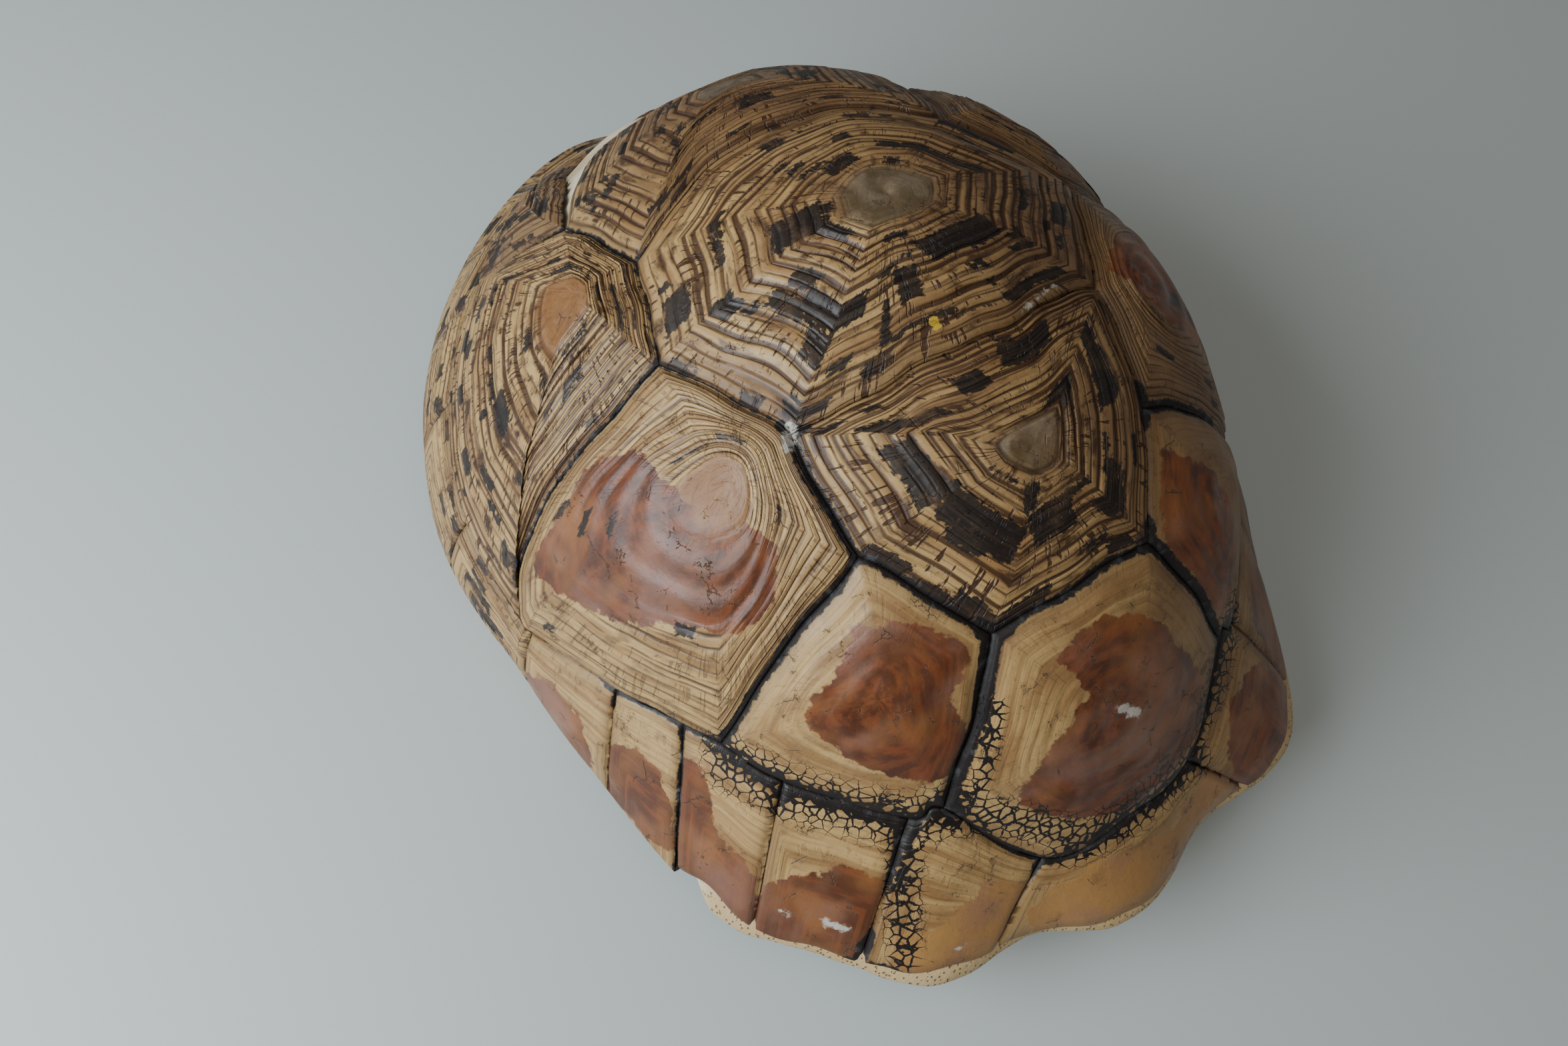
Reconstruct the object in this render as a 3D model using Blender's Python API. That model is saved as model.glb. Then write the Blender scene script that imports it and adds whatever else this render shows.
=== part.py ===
"""The empty shell of an adult leopard tortoise: bone carapace, bone plastron and the keratin scutes on them.

The head end is towards -Y, the tail end towards +Y, the animal's left side is +X, and it stands on Z = 0.
The carapace is laid out on a chart, a unit disc seen from above: its centre is the top of the dome and
its edge is the rim. The plastron is laid out by (across, along): across is 0 on the midline and 1 at the
left edge, and along is 0 at the front and 1 at the back.
"""

import math

import bmesh
import bpy
import numpy as np

# Driving dimensions, in metres.
HALF_WIDTH = 0.131
REAR_REACH = 0.1575
FRONT_REACH = 0.154
DOME_HEIGHT = 0.138
RIM_HEIGHT = 0.034
FRONT_ARCH = 0.022
SCUTE_THICKNESS = 0.0016
ROOF_CLEARANCE = 0.0008
RIM_CLEARANCE = 0.0014
PLASTRON_CLEARANCE = 0.0018
SEAM_HALF_GAP = 0.00025
ROOF_BONE = 0.0045
RIM_BONE = 0.0075
EDGE_BONE = 0.0026
PLASTRON_BONE = 0.0055
VERTEBRAL_SWELL = 0.0042
COSTAL_SWELL = 0.0038
MARGINAL_SWELL = 0.0012

UP = (0, 0, 1)

# How the dome swells between its top and its rim.
ROUNDNESS = 1.2
STEEPNESS = 0.99
REAR_FULLNESS = 0.057
FLARE_START = 0.72

# How far the rim turns out, in metres: at the side, between side and end, and at the end.
REAR_FLARE = (0.0057, 0.026, 0.033)
FRONT_FLARE = (0.0057, 0.010, 0.016)
# Waves of the rim: the angle on the chart, the half width in degrees, and metres outwards.
RIM_WAVES = (
    (-12, 15, 0.006),
    (28, 10, -0.0025),
    (46, 5, 0.0035),
    (66, 5, 0.004),
    (78, 6, -0.008),
    (100, 7, -0.009),
    (115, 6, 0.005),
    (134, 9, -0.008),
    (192, 15, 0.005),
    (-90, 6, -0.006),
)
REAR_LIFT = 0.0035

# Where scute seams meet on the chart, on the left side.
CORNERS = {
    "v1_c1_m": (0.165, -0.830),
    "v1_v2_c1": (0.225, -0.565),
    "v2_c1_c2": (0.347, -0.423),
    "v2_v3_c2": (0.327, -0.228),
    "v3_c2_c3": (0.410, -0.036),
    "v3_v4_c3": (0.293, 0.197),
    "v4_c3_c4": (0.268, 0.361),
    "v4_v5_c4": (0.136, 0.514),
}
# The right side grew a little differently: these corners replace the mirrored ones.
RIGHT_CORNERS = {
    "v2_v3_c2": (-0.281, -0.215),
    "v3_c2_c3": (-0.463, -0.031),
    "v4_c3_c4": (-0.231, 0.364),
}
# The seam above the marginal scutes, from front to back: a name, and its angle and radius on the chart.
MARGINAL_SEAM = (
    ("nape", -90, 0.860),
    ("v1_c1_m", -78.8, 0.846),
    ("m1_m2", -74, 0.840),
    ("m2_m3", -61, 0.815),
    ("c1_c2_m", -50, 0.800),
    ("m3_m4", -47, 0.802),
    ("m4_m5", -31, 0.830),
    ("m5_m6", -13, 0.872),
    ("c2_c3_m", 3.7, 0.890),
    ("m6_m7", 6.5, 0.886),
    ("m7_m8", 23, 0.815),
    ("m8_m9", 34, 0.785),
    ("c3_c4_m", 39.7, 0.778),
    ("m9_m10", 48.6, 0.790),
    ("m10_m11", 64, 0.800),
    ("v5_c4_m", 68, 0.783),
    ("m11_tail", 79.5, 0.888),
    ("tail", 90, 0.873),
)
# The marginal seams at the rim, in degrees: from nape to the supracaudal scute's edge.
RIM_SEAMS = (-90, -73, -59, -45, -29.5, -12.5, 8, 26.7, 38.7, 48.6, 59.6, 73)
FREE_EDGED_MARGINALS = (9, 10, 11)
FREE_EDGE = 0.972
BONE_EDGE = 0.988
BARE_EDGE_DEPTH = 0.0004
LIP_START = 0.955

# Growth centres on the chart, left side for the costals.
CENTRES = {
    "vertebral_1": (0.0, -0.70),
    "vertebral_2": (0.0, -0.42),
    "vertebral_3": (-0.01, -0.04),
    "vertebral_4": (0.0, 0.335),
    "vertebral_5": (0.0, 0.68),
    "costal_1": (0.345, -0.63),
    "costal_2": (0.43, -0.237),
    "costal_3": (0.40, 0.185),
    "costal_4": (0.32, 0.52),
}

# The plastron: flat half width at places along it, and its two ends on the midline and at the side.
FLAT_HALF_WIDTHS = (
    (0.0, 0.030),
    (0.06, 0.047),
    (0.15, 0.063),
    (0.28, 0.075),
    (0.50, 0.081),
    (0.72, 0.077),
    (0.85, 0.069),
    (0.94, 0.054),
    (1.0, 0.036),
)
PLASTRON_FRONT = (-0.137, -0.131)
PLASTRON_REAR = (0.106, 0.124)
FLAT_SHARE = 0.6
BRIDGE_START = (0.20, 0.33)
BRIDGE_END = (0.66, 0.80)
LOBE_UPTURN = 0.06
BRIDGE_GAP = 0.0036
# Seams across the plastron: along on the midline, and along at the edge.
PLASTRAL_SEAMS = (
    (0.0, 0.0),
    (0.135, 0.085),
    (0.26, 0.26),
    (0.345, 0.37),
    (0.70, 0.73),
    (0.875, 0.90),
    (1.0, 1.0),
)
PLASTRAL_NAMES = ("gular", "humeral", "pectoral", "abdominal", "femoral", "anal")
PLASTRAL_INSET = 0.0018
PLASTRON_COLUMNS = (0.3, 0.599, 0.73, 0.865, 1.0)

KERATIN_TAN = (0.42, 0.30, 0.15, 1)
KERATIN_BROWN = (0.20, 0.09, 0.04, 1)
HORN_YELLOW = (0.52, 0.42, 0.24, 1)
BONE_WHITE = (0.74, 0.68, 0.55, 1)


def clear_scene():
    for found in list(bpy.data.objects):
        bpy.data.objects.remove(found)


def make_material(name, color, roughness):
    material = bpy.data.materials.new(name)
    material.use_nodes = True
    surface = material.node_tree.nodes["Principled BSDF"]
    surface.inputs["Base Color"].default_value = color
    surface.inputs["Roughness"].default_value = roughness
    return material


def smoothstep(value, start, end):
    share = np.clip((value - start) / (end - start), 0, 1)
    return share * share * (3 - 2 * share)


# The carapace's shape.


def rim_flare(angle):
    """Metres that the rim turns out by at these angles, in radians."""
    rearward = np.sin(angle)
    end_share = rearward**2
    side, corner, end = np.where(
        rearward[..., None] > 0, REAR_FLARE, FRONT_FLARE
    ).transpose(-1, *range(rearward.ndim))
    flare = side * (1 - end_share) * (1 - 2 * end_share)
    flare = flare + 4 * corner * end_share * (1 - end_share)
    flare = flare + end * end_share * (2 * end_share - 1)
    for centre, half_width, height in RIM_WAVES:
        away = np.degrees(angle) - centre
        away = (away + 180) % 360 - 180
        flare = flare + height * np.exp(-((away / half_width) ** 2))
    return flare


def outer_skin(chart):
    """Places on the smooth outside of the carapace for chart points, an array ending in two."""
    radius = np.hypot(chart[..., 0], chart[..., 1])
    angle = np.arctan2(chart[..., 1], chart[..., 0])
    sideways, rearward = np.cos(angle), np.sin(angle)
    reach = np.where(rearward > 0, REAR_REACH, FRONT_REACH)
    plan = 1 / np.hypot(sideways / HALF_WIDTH, rearward / reach)
    slope = np.minimum(radius, 1) * math.pi / 2
    edge_share = np.clip((radius - FLARE_START) / (1 - FLARE_START), 0, 1) ** 2
    out = plan * np.sin(slope) ** ROUNDNESS
    out = out + edge_share * rim_flare(angle)
    height = DOME_HEIGHT * np.cos(slope).clip(1e-6) ** (STEEPNESS - REAR_FULLNESS * rearward)
    height = height + edge_share * REAR_LIFT * np.clip(rearward, 0, 1) ** 2
    height = height + edge_share * FRONT_ARCH * np.clip(-rearward, 0, 1) ** 3
    return np.stack([out * sideways, out * rearward, RIM_HEIGHT + height], -1)


def outward(chart):
    """The outward normals there."""
    step = 0.002
    inside = chart * np.minimum(1, (1 - 2 * step) / np.maximum(np.hypot(*chart.T), 1e-9))[:, None]
    across = outer_skin(inside + (step, 0)) - outer_skin(inside - (step, 0))
    along = outer_skin(inside + (0, step)) - outer_skin(inside - (0, step))
    normal = np.cross(across, along)
    return normal / np.linalg.norm(normal, axis=1, keepdims=True)


def carapace_points(chart, depth):
    """Places at a depth, or an array of depths, under the smooth outside."""
    chart = np.asarray(chart, float)
    return outer_skin(chart) - outward(chart) * np.reshape(depth, (-1, 1))


def polar(degrees, radius):
    angle = math.radians(degrees)
    return (radius * math.cos(angle), radius * math.sin(angle))


def clearance(radius):
    """The space between scutes and bone: it is wider where the rim waves."""
    return ROOF_CLEARANCE + (RIM_CLEARANCE - ROOF_CLEARANCE) * smoothstep(radius, 0.7, 0.85)


def bone_top(radius):
    """How deep the bone's outside lies at this radius on the chart."""
    return SCUTE_THICKNESS + clearance(radius)


def bone_depth(radius):
    """How deep the bone's inside lies at this radius on the chart."""
    thicker = smoothstep(radius, 0.6, 0.85) * (RIM_BONE - ROOF_BONE)
    thinner = smoothstep(radius, 0.88, 1.0) * (RIM_BONE - EDGE_BONE)
    return bone_top(radius) + ROOF_BONE + thicker - thinner


# Meshes.


def add_object(name, vertices, faces, material):
    mesh = bpy.data.meshes.new(name)
    mesh.from_pydata([tuple(map(float, place)) for place in vertices], [], faces)
    mesh.materials.append(material)
    shape = bmesh.new()
    shape.from_mesh(mesh)
    bmesh.ops.triangulate(shape, faces=shape.faces[:])
    bmesh.ops.recalc_face_normals(shape, faces=shape.faces[:])
    shape.to_mesh(mesh)
    shape.free()
    thing = bpy.data.objects.new(name, mesh)
    bpy.context.scene.collection.objects.link(thing)
    return thing


def strip(first, second, is_ring):
    """Quads between two rows of vertex numbers of the same length."""
    count = len(first) if is_ring else len(first) - 1
    quads = []
    for i in range(count):
        j = (i + 1) % len(first)
        quads.append((first[i], first[j], second[j], second[i]))
    return quads


def plate_from_grids(name, outside, inside, material):
    """A closed plate between two grids of places with the same layout."""
    rows, columns = outside.shape[:2]
    front = np.arange(rows * columns).reshape(rows, columns)
    back = front + rows * columns
    faces = []
    for row in range(rows - 1):
        faces += strip(front[row].tolist(), front[row + 1].tolist(), False)
        faces += strip(back[row].tolist(), back[row + 1].tolist(), False)
    edge = front[0].tolist() + front[1:, -1].tolist()
    edge += front[-1, -2::-1].tolist() + front[-2:0:-1, 0].tolist()
    faces += strip(edge, [number + rows * columns for number in edge], True)
    vertices = np.concatenate([outside.reshape(-1, 3), inside.reshape(-1, 3)])
    return add_object(name, vertices, faces, material)


def cap_of_rings(loops, centre, first):
    """The places and faces of nested loops closed by a centre point, numbered from first."""
    places = np.concatenate(loops + [centre[None]])
    count = len(loops[0])
    rows = [list(range(first + k * count, first + (k + 1) * count)) for k in range(len(loops))]
    faces = []
    for outer_row, inner_row in zip(rows, rows[1:]):
        faces += strip(outer_row, inner_row, True)
    last = first + len(places) - 1
    for i in range(count):
        faces.append((rows[-1][i], rows[-1][(i + 1) % count], last))
    return places, faces


# Scute outlines.


def subdivided(points, longest=0.125):
    """The same open line with its long stretches split evenly."""
    line = []
    for start, end in zip(points, points[1:]):
        start, end = np.array(start), np.array(end)
        parts = max(1, math.ceil(np.linalg.norm(end - start) / longest))
        line += [start + (end - start) * k / parts for k in range(parts)]
    return line + [np.array(points[-1])]


def seam_corner(name, side):
    """A corner of scutes on the chart. side is 1 for the left and -1 for the right."""
    if side < 0 and name in RIGHT_CORNERS:
        return RIGHT_CORNERS[name]
    x, y = CORNERS[name] if name in CORNERS else seam_place(name)
    return (side * x, y)


def seam_place(name):
    found = {key: polar(degrees, radius) for key, degrees, radius in MARGINAL_SEAM}
    return found[name]


def marginal_line(start, end, side):
    """The seam above the marginals between two of its named points, front to back."""
    names = [key for key, _, _ in MARGINAL_SEAM]
    used = names[names.index(start) : names.index(end) + 1]
    return [seam_corner(key, side) for key in used]


def across_midline(name, bow):
    """The seam between two vertebrals, from left to right, bowed along Y on the midline."""
    left, right = seam_corner(name, 1), seam_corner(name, -1)
    middle = ((left[0] + right[0]) / 2, (left[1] + right[1]) / 2 + bow)
    quarters = [tuple((np.array(end) + middle) / 2 + (0, bow * 0.3)) for end in (left, right)]
    return [left, quarters[0], middle, quarters[1], right]


def vertebral_seams():
    return {
        "v1_v2_c1": across_midline("v1_v2_c1", 0.03),
        "v2_v3_c2": across_midline("v2_v3_c2", -0.065),
        "v3_v4_c3": across_midline("v3_v4_c3", 0.01),
        "v4_v5_c4": across_midline("v4_v5_c4", -0.008),
    }


def vertebral_outlines():
    seams = vertebral_seams()
    nape = marginal_line("nape", "v1_c1_m", 1)
    tail = marginal_line("v5_c4_m", "tail", 1)
    mirrored_nape = [(-x, y) for x, y in nape]
    mirrored_tail = [(-x, y) for x, y in tail]
    first = mirrored_nape[::-1] + nape[1:] + seams["v1_v2_c1"]
    last = seams["v4_v5_c4"][::-1] + tail + mirrored_tail[:-1][::-1]
    outlines = {"vertebral_1": first}
    middles = (
        ("vertebral_2", "v1_v2_c1", "v2_c1_c2", "v2_v3_c2"),
        ("vertebral_3", "v2_v3_c2", "v3_c2_c3", "v3_v4_c3"),
        ("vertebral_4", "v3_v4_c3", "v4_c3_c4", "v4_v5_c4"),
    )
    for name, ahead, side_corner, behind in middles:
        line = seams[ahead][::-1] + [seam_corner(side_corner, 1)] + seams[behind]
        outlines[name] = line + [seam_corner(side_corner, -1)]
    outlines["vertebral_5"] = last
    return outlines


def costal_seams(side):
    """The seams between costals, from the vertebrals down to the marginals."""
    wave = {
        "c1_c2": [(0.455, -0.545)],
        "c2_c3": [(0.654, -0.025), (0.80, 0.0)],
        "c3_c4": [(0.43, 0.425)],
    }
    ends = {
        "c1_c2": ("v2_c1_c2", "c1_c2_m"),
        "c2_c3": ("v3_c2_c3", "c2_c3_m"),
        "c3_c4": ("v4_c3_c4", "c3_c4_m"),
    }
    lines = {}
    for key, (top, bottom) in ends.items():
        middle = [(side * x, y) for x, y in wave[key]]
        lines[key] = [seam_corner(top, side)] + middle + [seam_corner(bottom, side)]
    return lines


def costal_outlines(side):
    seams = costal_seams(side)
    first = [seam_corner("v2_c1_c2", side), seam_corner("v1_v2_c1", side)]
    first += marginal_line("v1_c1_m", "c1_c2_m", side) + seams["c1_c2"][1:-1][::-1]
    second = [seam_corner("v3_c2_c3", side), seam_corner("v2_v3_c2", side)] + seams["c1_c2"]
    second += marginal_line("c1_c2_m", "c2_c3_m", side)[1:] + seams["c2_c3"][1:-1][::-1]
    third = [seam_corner("v4_c3_c4", side), seam_corner("v3_v4_c3", side)] + seams["c2_c3"]
    third += marginal_line("c2_c3_m", "c3_c4_m", side)[1:] + seams["c3_c4"][1:-1][::-1]
    fourth = [seam_corner("v4_v5_c4", side)] + seams["c3_c4"]
    fourth += marginal_line("c3_c4_m", "v5_c4_m", side)[1:]
    return {"costal_1": first, "costal_2": second, "costal_3": third, "costal_4": fourth}


def chart_scale(chart):
    """Metres on the shell per unit of the chart, the smaller of the two directions, at each point."""
    step = 0.004
    across = outer_skin(chart + (step, 0)) - outer_skin(chart - (step, 0))
    along = outer_skin(chart + (0, step)) - outer_skin(chart - (0, step))
    lengths = np.minimum(np.linalg.norm(across, axis=1), np.linalg.norm(along, axis=1))
    return lengths / (2 * step)


def inset(loop, centre):
    """The closed outline drawn in by half of a seam's gap, away from its neighbours."""
    loop = np.array(loop)
    before, after = np.roll(loop, 1, axis=0), np.roll(loop, -1, axis=0)
    signed_area = np.cross(before - centre, loop - centre).sum()
    turn = 1 if signed_area > 0 else -1
    normals = []
    for start, end in ((before, loop), (loop, after)):
        edge = end - start
        normal = np.stack([-edge[:, 1], edge[:, 0]], 1) * turn
        normals.append(normal / np.linalg.norm(normal, axis=1, keepdims=True))
    bisector = normals[0] + normals[1]
    bisector /= np.linalg.norm(bisector, axis=1, keepdims=True)
    spread = np.clip((bisector * normals[0]).sum(1), 0.4, 1)
    distance = SEAM_HALF_GAP / chart_scale(loop) / spread
    return loop + bisector * distance[:, None]


def dome_scute(name, outline, centre, swell, material):
    """A scute of the dome: a plate that rises in low steps to its growth centre."""
    centre = np.array(centre, float)
    loop = subdivided(list(outline) + [outline[0]])[:-1]
    loop = inset(loop, centre)
    steps = ((1.0, 0.0), (0.86, 0.35), (0.5, 0.78), (0.2, 0.97))
    outside = [carapace_points(centre + (loop - centre) * share, -swell * rise) for share, rise in steps]
    peak = carapace_points(centre[None], -swell)[0]
    inner_steps = (1.0, 0.74, 0.48, 0.23)
    inside = [
        carapace_points(centre + (loop - centre) * share, SCUTE_THICKNESS) for share in inner_steps
    ]
    pit = carapace_points(centre[None], SCUTE_THICKNESS)[0]
    top_places, top_faces = cap_of_rings(outside, peak, 0)
    under_places, under_faces = cap_of_rings(inside, pit, len(top_places))
    count = len(loop)
    wall = strip(
        list(range(count)), list(range(len(top_places), len(top_places) + count)), True
    )
    places = np.concatenate([top_places, under_places])
    return add_object(name, places, top_faces + under_faces + wall, material)


# Marginal scutes.


def marginal_columns(seam_line, rim_start, rim_end):
    """Chart lines from the seam above down to the rim, one for each point of the seam."""
    upper = np.array(subdivided(seam_line, 0.11))
    lengths = np.linalg.norm(np.diff(upper, axis=0), axis=1)
    share = np.concatenate([[0], np.cumsum(lengths)]) / lengths.sum()
    rim = np.radians(rim_start + (rim_end - rim_start) * share)
    lower = np.stack([np.cos(rim), np.sin(rim)], 1)
    gap = SEAM_HALF_GAP / 0.15
    for row in (upper, lower):
        first = (row[1] - row[0]) / np.linalg.norm(row[1] - row[0])
        last = (row[-2] - row[-1]) / np.linalg.norm(row[-2] - row[-1])
        row[0] += first * gap
        row[-1] += last * gap
    down = (lower - upper) / np.linalg.norm(lower - upper, axis=1, keepdims=True)
    return upper + down * gap, lower


def at_radius(upper, lower, radius):
    """Points of the chart lines at this radius. The lines run nearly along the radius."""
    start = np.hypot(*upper.T)
    share = (radius - start) / (np.hypot(*lower.T) - start)
    return upper + (lower - upper) * share[:, None]


def marginal_scute(name, seam_line, rim_start, rim_end, has_free_edge, material):
    """A scute of the rim. It wraps under the edge, unless its lower edge is worn back to show bone."""
    upper, lower = marginal_columns(seam_line, rim_start, rim_end)
    edge = FREE_EDGE if has_free_edge else 1.0
    start = np.hypot(*upper.T)
    outside, inside = [], []
    for share, rise in ((0, 0), (0.33, 0.8), (0.7, 1.0), (1, 0)):
        row = at_radius(upper, lower, start + (edge - start) * share)
        outside.append(carapace_points(row, -MARGINAL_SWELL * rise))
        inner_edge = edge if has_free_edge else edge - 0.006
        row = at_radius(upper, lower, start + (inner_edge - start) * share)
        inside.append(carapace_points(row, SCUTE_THICKNESS))
    if not has_free_edge:
        for radius in (1.0, LIP_START):
            row = at_radius(upper, lower, radius)
            under = bone_depth(radius) + clearance(radius)
            outside.append(carapace_points(row, under + SCUTE_THICKNESS))
            row = at_radius(upper, lower, min(radius, 0.994))
            inside.append(carapace_points(row, under))
    return plate_from_grids(name, np.array(outside), np.array(inside), material)


def bareness(degrees):
    """1 at the back, where the bone's edge shows, and 0 where scutes wrap it."""
    behind = np.abs((degrees - 90 + 180) % 360 - 180)
    return 1 - smoothstep(behind, 46, 50)


def rim_top(degrees):
    """How deep the outside of the bone's very edge lies: nearly flush where it is bare."""
    wrapped = bone_top(1.0)
    return wrapped + (BARE_EDGE_DEPTH - wrapped) * bareness(degrees)


def carapace_bone(material):
    """The bony dome, open below, with a flange around it that the marginal scutes cover."""
    angles = np.arange(-90, 270, 7.5)
    shares = (0.12, 0.26, 0.39, 0.51, 0.62, 0.72, 0.80, 0.87, 0.93, 0.979, 1.0)
    edge = BONE_EDGE + (1 - BONE_EDGE) * bareness(angles)
    rings = [
        np.array([polar(degrees, share * reach) for degrees, reach in zip(angles, edge)])
        for share in shares
    ]
    outside = [carapace_points(ring, bone_top(np.hypot(*ring.T))) for ring in rings[::-1]]
    outside[0] = carapace_points(rings[-1], rim_top(angles))
    inside = [carapace_points(ring, bone_depth(np.hypot(*ring.T))) for ring in rings[::-1]]
    centre = np.zeros((1, 2))
    top_places, top_faces = cap_of_rings(outside, carapace_points(centre, bone_top(0.0))[0], 0)
    first = len(top_places)
    roof = carapace_points(centre, bone_depth(0.0))[0]
    under_places, under_faces = cap_of_rings(inside, roof, first)
    count = len(angles)
    wall = strip(list(range(count)), list(range(first, first + count)), True)
    places = np.concatenate([top_places, under_places])
    return add_object("carapace_bone", places, top_faces + under_faces + wall, material)


# The plastron.


def rim_reach(y):
    """How far to the left the rim is, at places along Y."""
    angles = np.radians(np.linspace(-70, 70, 141))
    rim = outer_skin(np.stack([np.cos(angles), np.sin(angles)], -1) * 0.9999)
    return np.interp(y, rim[:, 1], rim[:, 0])


def bridge_share(along):
    """1 where the bridge climbs to the rim, and little where a lobe only turns up at its edge."""
    bridge = smoothstep(along, *BRIDGE_START) * (1 - smoothstep(along, *BRIDGE_END))
    return LOBE_UPTURN + (1 - LOBE_UPTURN) * bridge


def plastron_skin(grid):
    """Places on the plastron's smooth outside for (across, along), an array ending in two."""
    across, along = grid[..., 0], grid[..., 1]
    out = np.abs(across)
    front = PLASTRON_FRONT[0] + (PLASTRON_FRONT[1] - PLASTRON_FRONT[0]) * smoothstep(out, 0, 1)
    rear = PLASTRON_REAR[0] + (PLASTRON_REAR[1] - PLASTRON_REAR[0]) * smoothstep(out, 0, 0.5)
    y = front + (rear - front) * along
    places, widths = zip(*FLAT_HALF_WIDTHS)
    flat = np.interp(along, places, widths)
    bridge = bridge_share(along)
    turn = np.clip((out - FLAT_SHARE) / (1 - FLAT_SHARE), 0, 1) * math.pi / 2
    side = flat * np.minimum(out / FLAT_SHARE, 1)
    side = side + bridge * (rim_reach(y) - 0.001 - flat) * np.sin(turn)
    z = bridge * (RIM_HEIGHT - BRIDGE_GAP) * (1 - np.cos(turn))
    return np.stack([side * np.sign(across), y, z], -1)


def plastron_points(grid, depth):
    """Places at a depth inside the plastron's smooth outside, or above it where a lobe is thin."""
    grid = np.asarray(grid, float)
    step = 0.004
    sample = grid.copy()
    sample[..., 1] = np.clip(sample[..., 1], step, 1 - step)
    right = sample - (step, 0)
    left = sample + (step, 0)
    across = plastron_skin(left) - plastron_skin(right)
    along = plastron_skin(sample + (0, step)) - plastron_skin(sample - (0, step))
    inward = np.cross(across, along)
    inward /= np.linalg.norm(inward, axis=-1, keepdims=True)
    inward[np.abs(grid[..., 0]) < FLAT_SHARE] = UP
    bridge = bridge_share(grid[..., 1])[..., None]
    inward = inward * bridge + np.array(UP) * (1 - bridge)
    inward /= np.linalg.norm(inward, axis=-1, keepdims=True)
    return plastron_skin(grid) + inward * depth


def plastron_rows():
    """Places along the plastron, closer together where the bridge begins and ends."""
    spans = ((0, 0.18, 3), (0.18, 0.36, 8), (0.36, 0.64, 4), (0.64, 0.82, 8), (0.82, 1, 4))
    rows = [0.0]
    for start, end, count in spans:
        rows += [start + (end - start) * (k + 1) / count for k in range(count)]
    return np.array(rows)


def plastron_bone(material):
    half = (0.0,) + PLASTRON_COLUMNS
    across = [-value for value in half[:0:-1]] + list(half)
    grid = np.stack(np.meshgrid(across, plastron_rows()), -1)
    top = SCUTE_THICKNESS + PLASTRON_CLEARANCE
    outside = plastron_points(grid, top)
    inside = plastron_points(grid, top + PLASTRON_BONE)
    return plate_from_grids("plastron_bone", outside, inside, material)


def plastral_scute(name, front_seam, rear_seam, side, material):
    """One scute of the plastron, between two seams across it and on one side of the midline."""
    columns = np.array((0.012,) + PLASTRON_COLUMNS)
    start = front_seam[0] + (front_seam[1] - front_seam[0]) * columns
    end = rear_seam[0] + (rear_seam[1] - rear_seam[0]) * columns
    start = start + (PLASTRAL_INSET if front_seam[0] > 0 else 0)
    end = end - (PLASTRAL_INSET if rear_seam[0] < 1 else 0)
    between = plastron_rows()
    between = between[(between > start.max() + 0.008) & (between < end.min() - 0.008)]
    rows = [start] + [np.full_like(columns, along) for along in between] + [end]
    grid = np.array([np.stack([side * columns, row], -1) for row in rows])
    outside = plastron_points(grid, 0.0)
    inside = plastron_points(grid, SCUTE_THICKNESS)
    return plate_from_grids(name, outside, inside, material)


# The whole shell.


def build_carapace_scutes(tan, brown):
    for name, outline in vertebral_outlines().items():
        dome_scute(name, outline, CENTRES[name], VERTEBRAL_SWELL, tan)
    for side, word in ((1, "left"), (-1, "right")):
        for name, outline in costal_outlines(side).items():
            centre = (side * CENTRES[name][0], CENTRES[name][1])
            dome_scute(f"{name}_{word}", outline, centre, COSTAL_SWELL, tan)
        ends = ["nape", "m1_m2", "m2_m3", "m3_m4", "m4_m5", "m5_m6", "m6_m7"]
        ends += ["m7_m8", "m8_m9", "m9_m10", "m10_m11", "m11_tail"]
        for number in range(1, 12):
            line = marginal_line(ends[number - 1], ends[number], side)
            rims = RIM_SEAMS[number - 1], RIM_SEAMS[number]
            if side < 0:
                rims = 180 - rims[0], 180 - rims[1]
            is_free = number in FREE_EDGED_MARGINALS
            marginal_scute(f"marginal_{number}_{word}", line, *rims, is_free, brown)
    left = marginal_line("m11_tail", "tail", 1)
    right = marginal_line("m11_tail", "tail", -1)
    marginal_scute("supracaudal", left + right[-2::-1], RIM_SEAMS[-1], 180 - RIM_SEAMS[-1], True, brown)


def build_plastron_scutes(material):
    for number, name in enumerate(PLASTRAL_NAMES):
        seams = PLASTRAL_SEAMS[number], PLASTRAL_SEAMS[number + 1]
        for side, word in ((1, "left"), (-1, "right")):
            plastral_scute(f"{name}_{word}", *seams, side, material)


def stand_on_origin():
    """Moves the shell so that the origin is under the middle of it, on the floor."""
    things = list(bpy.context.scene.collection.objects)
    corners = np.array([corner for thing in things for corner in thing.bound_box])
    low, high = corners.min(axis=0), corners.max(axis=0)
    for thing in things:
        thing.location = (-(low[0] + high[0]) / 2, -(low[1] + high[1]) / 2, -low[2])


def build():
    clear_scene()
    bone = make_material("bone", BONE_WHITE, 0.6)
    tan = make_material("dome_keratin", KERATIN_TAN, 0.4)
    brown = make_material("rim_keratin", KERATIN_BROWN, 0.35)
    yellow = make_material("plastron_keratin", HORN_YELLOW, 0.45)
    carapace_bone(bone)
    plastron_bone(bone)
    build_carapace_scutes(tan, brown)
    build_plastron_scutes(yellow)
    stand_on_origin()


build()
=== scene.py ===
"""The looks of the leopard tortoise shell: horn scutes with growth rings, worn patches and dark seams,
bare bone at the back of the rim, the plastron below, and a floor, lights and a camera.

The carapace is laid out on a chart, a unit disc seen from above: its centre is the top of the dome, its
edge is the rim, +v is the tail end and +u the animal's left. Shapes are in metres at the size that
SHELL_LENGTH gives, and are scaled to the frame. Scute surfaces are worked out in millimetres.
"""

import math

import bpy
import numpy as np
from mathutils import Matrix, Vector


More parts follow.
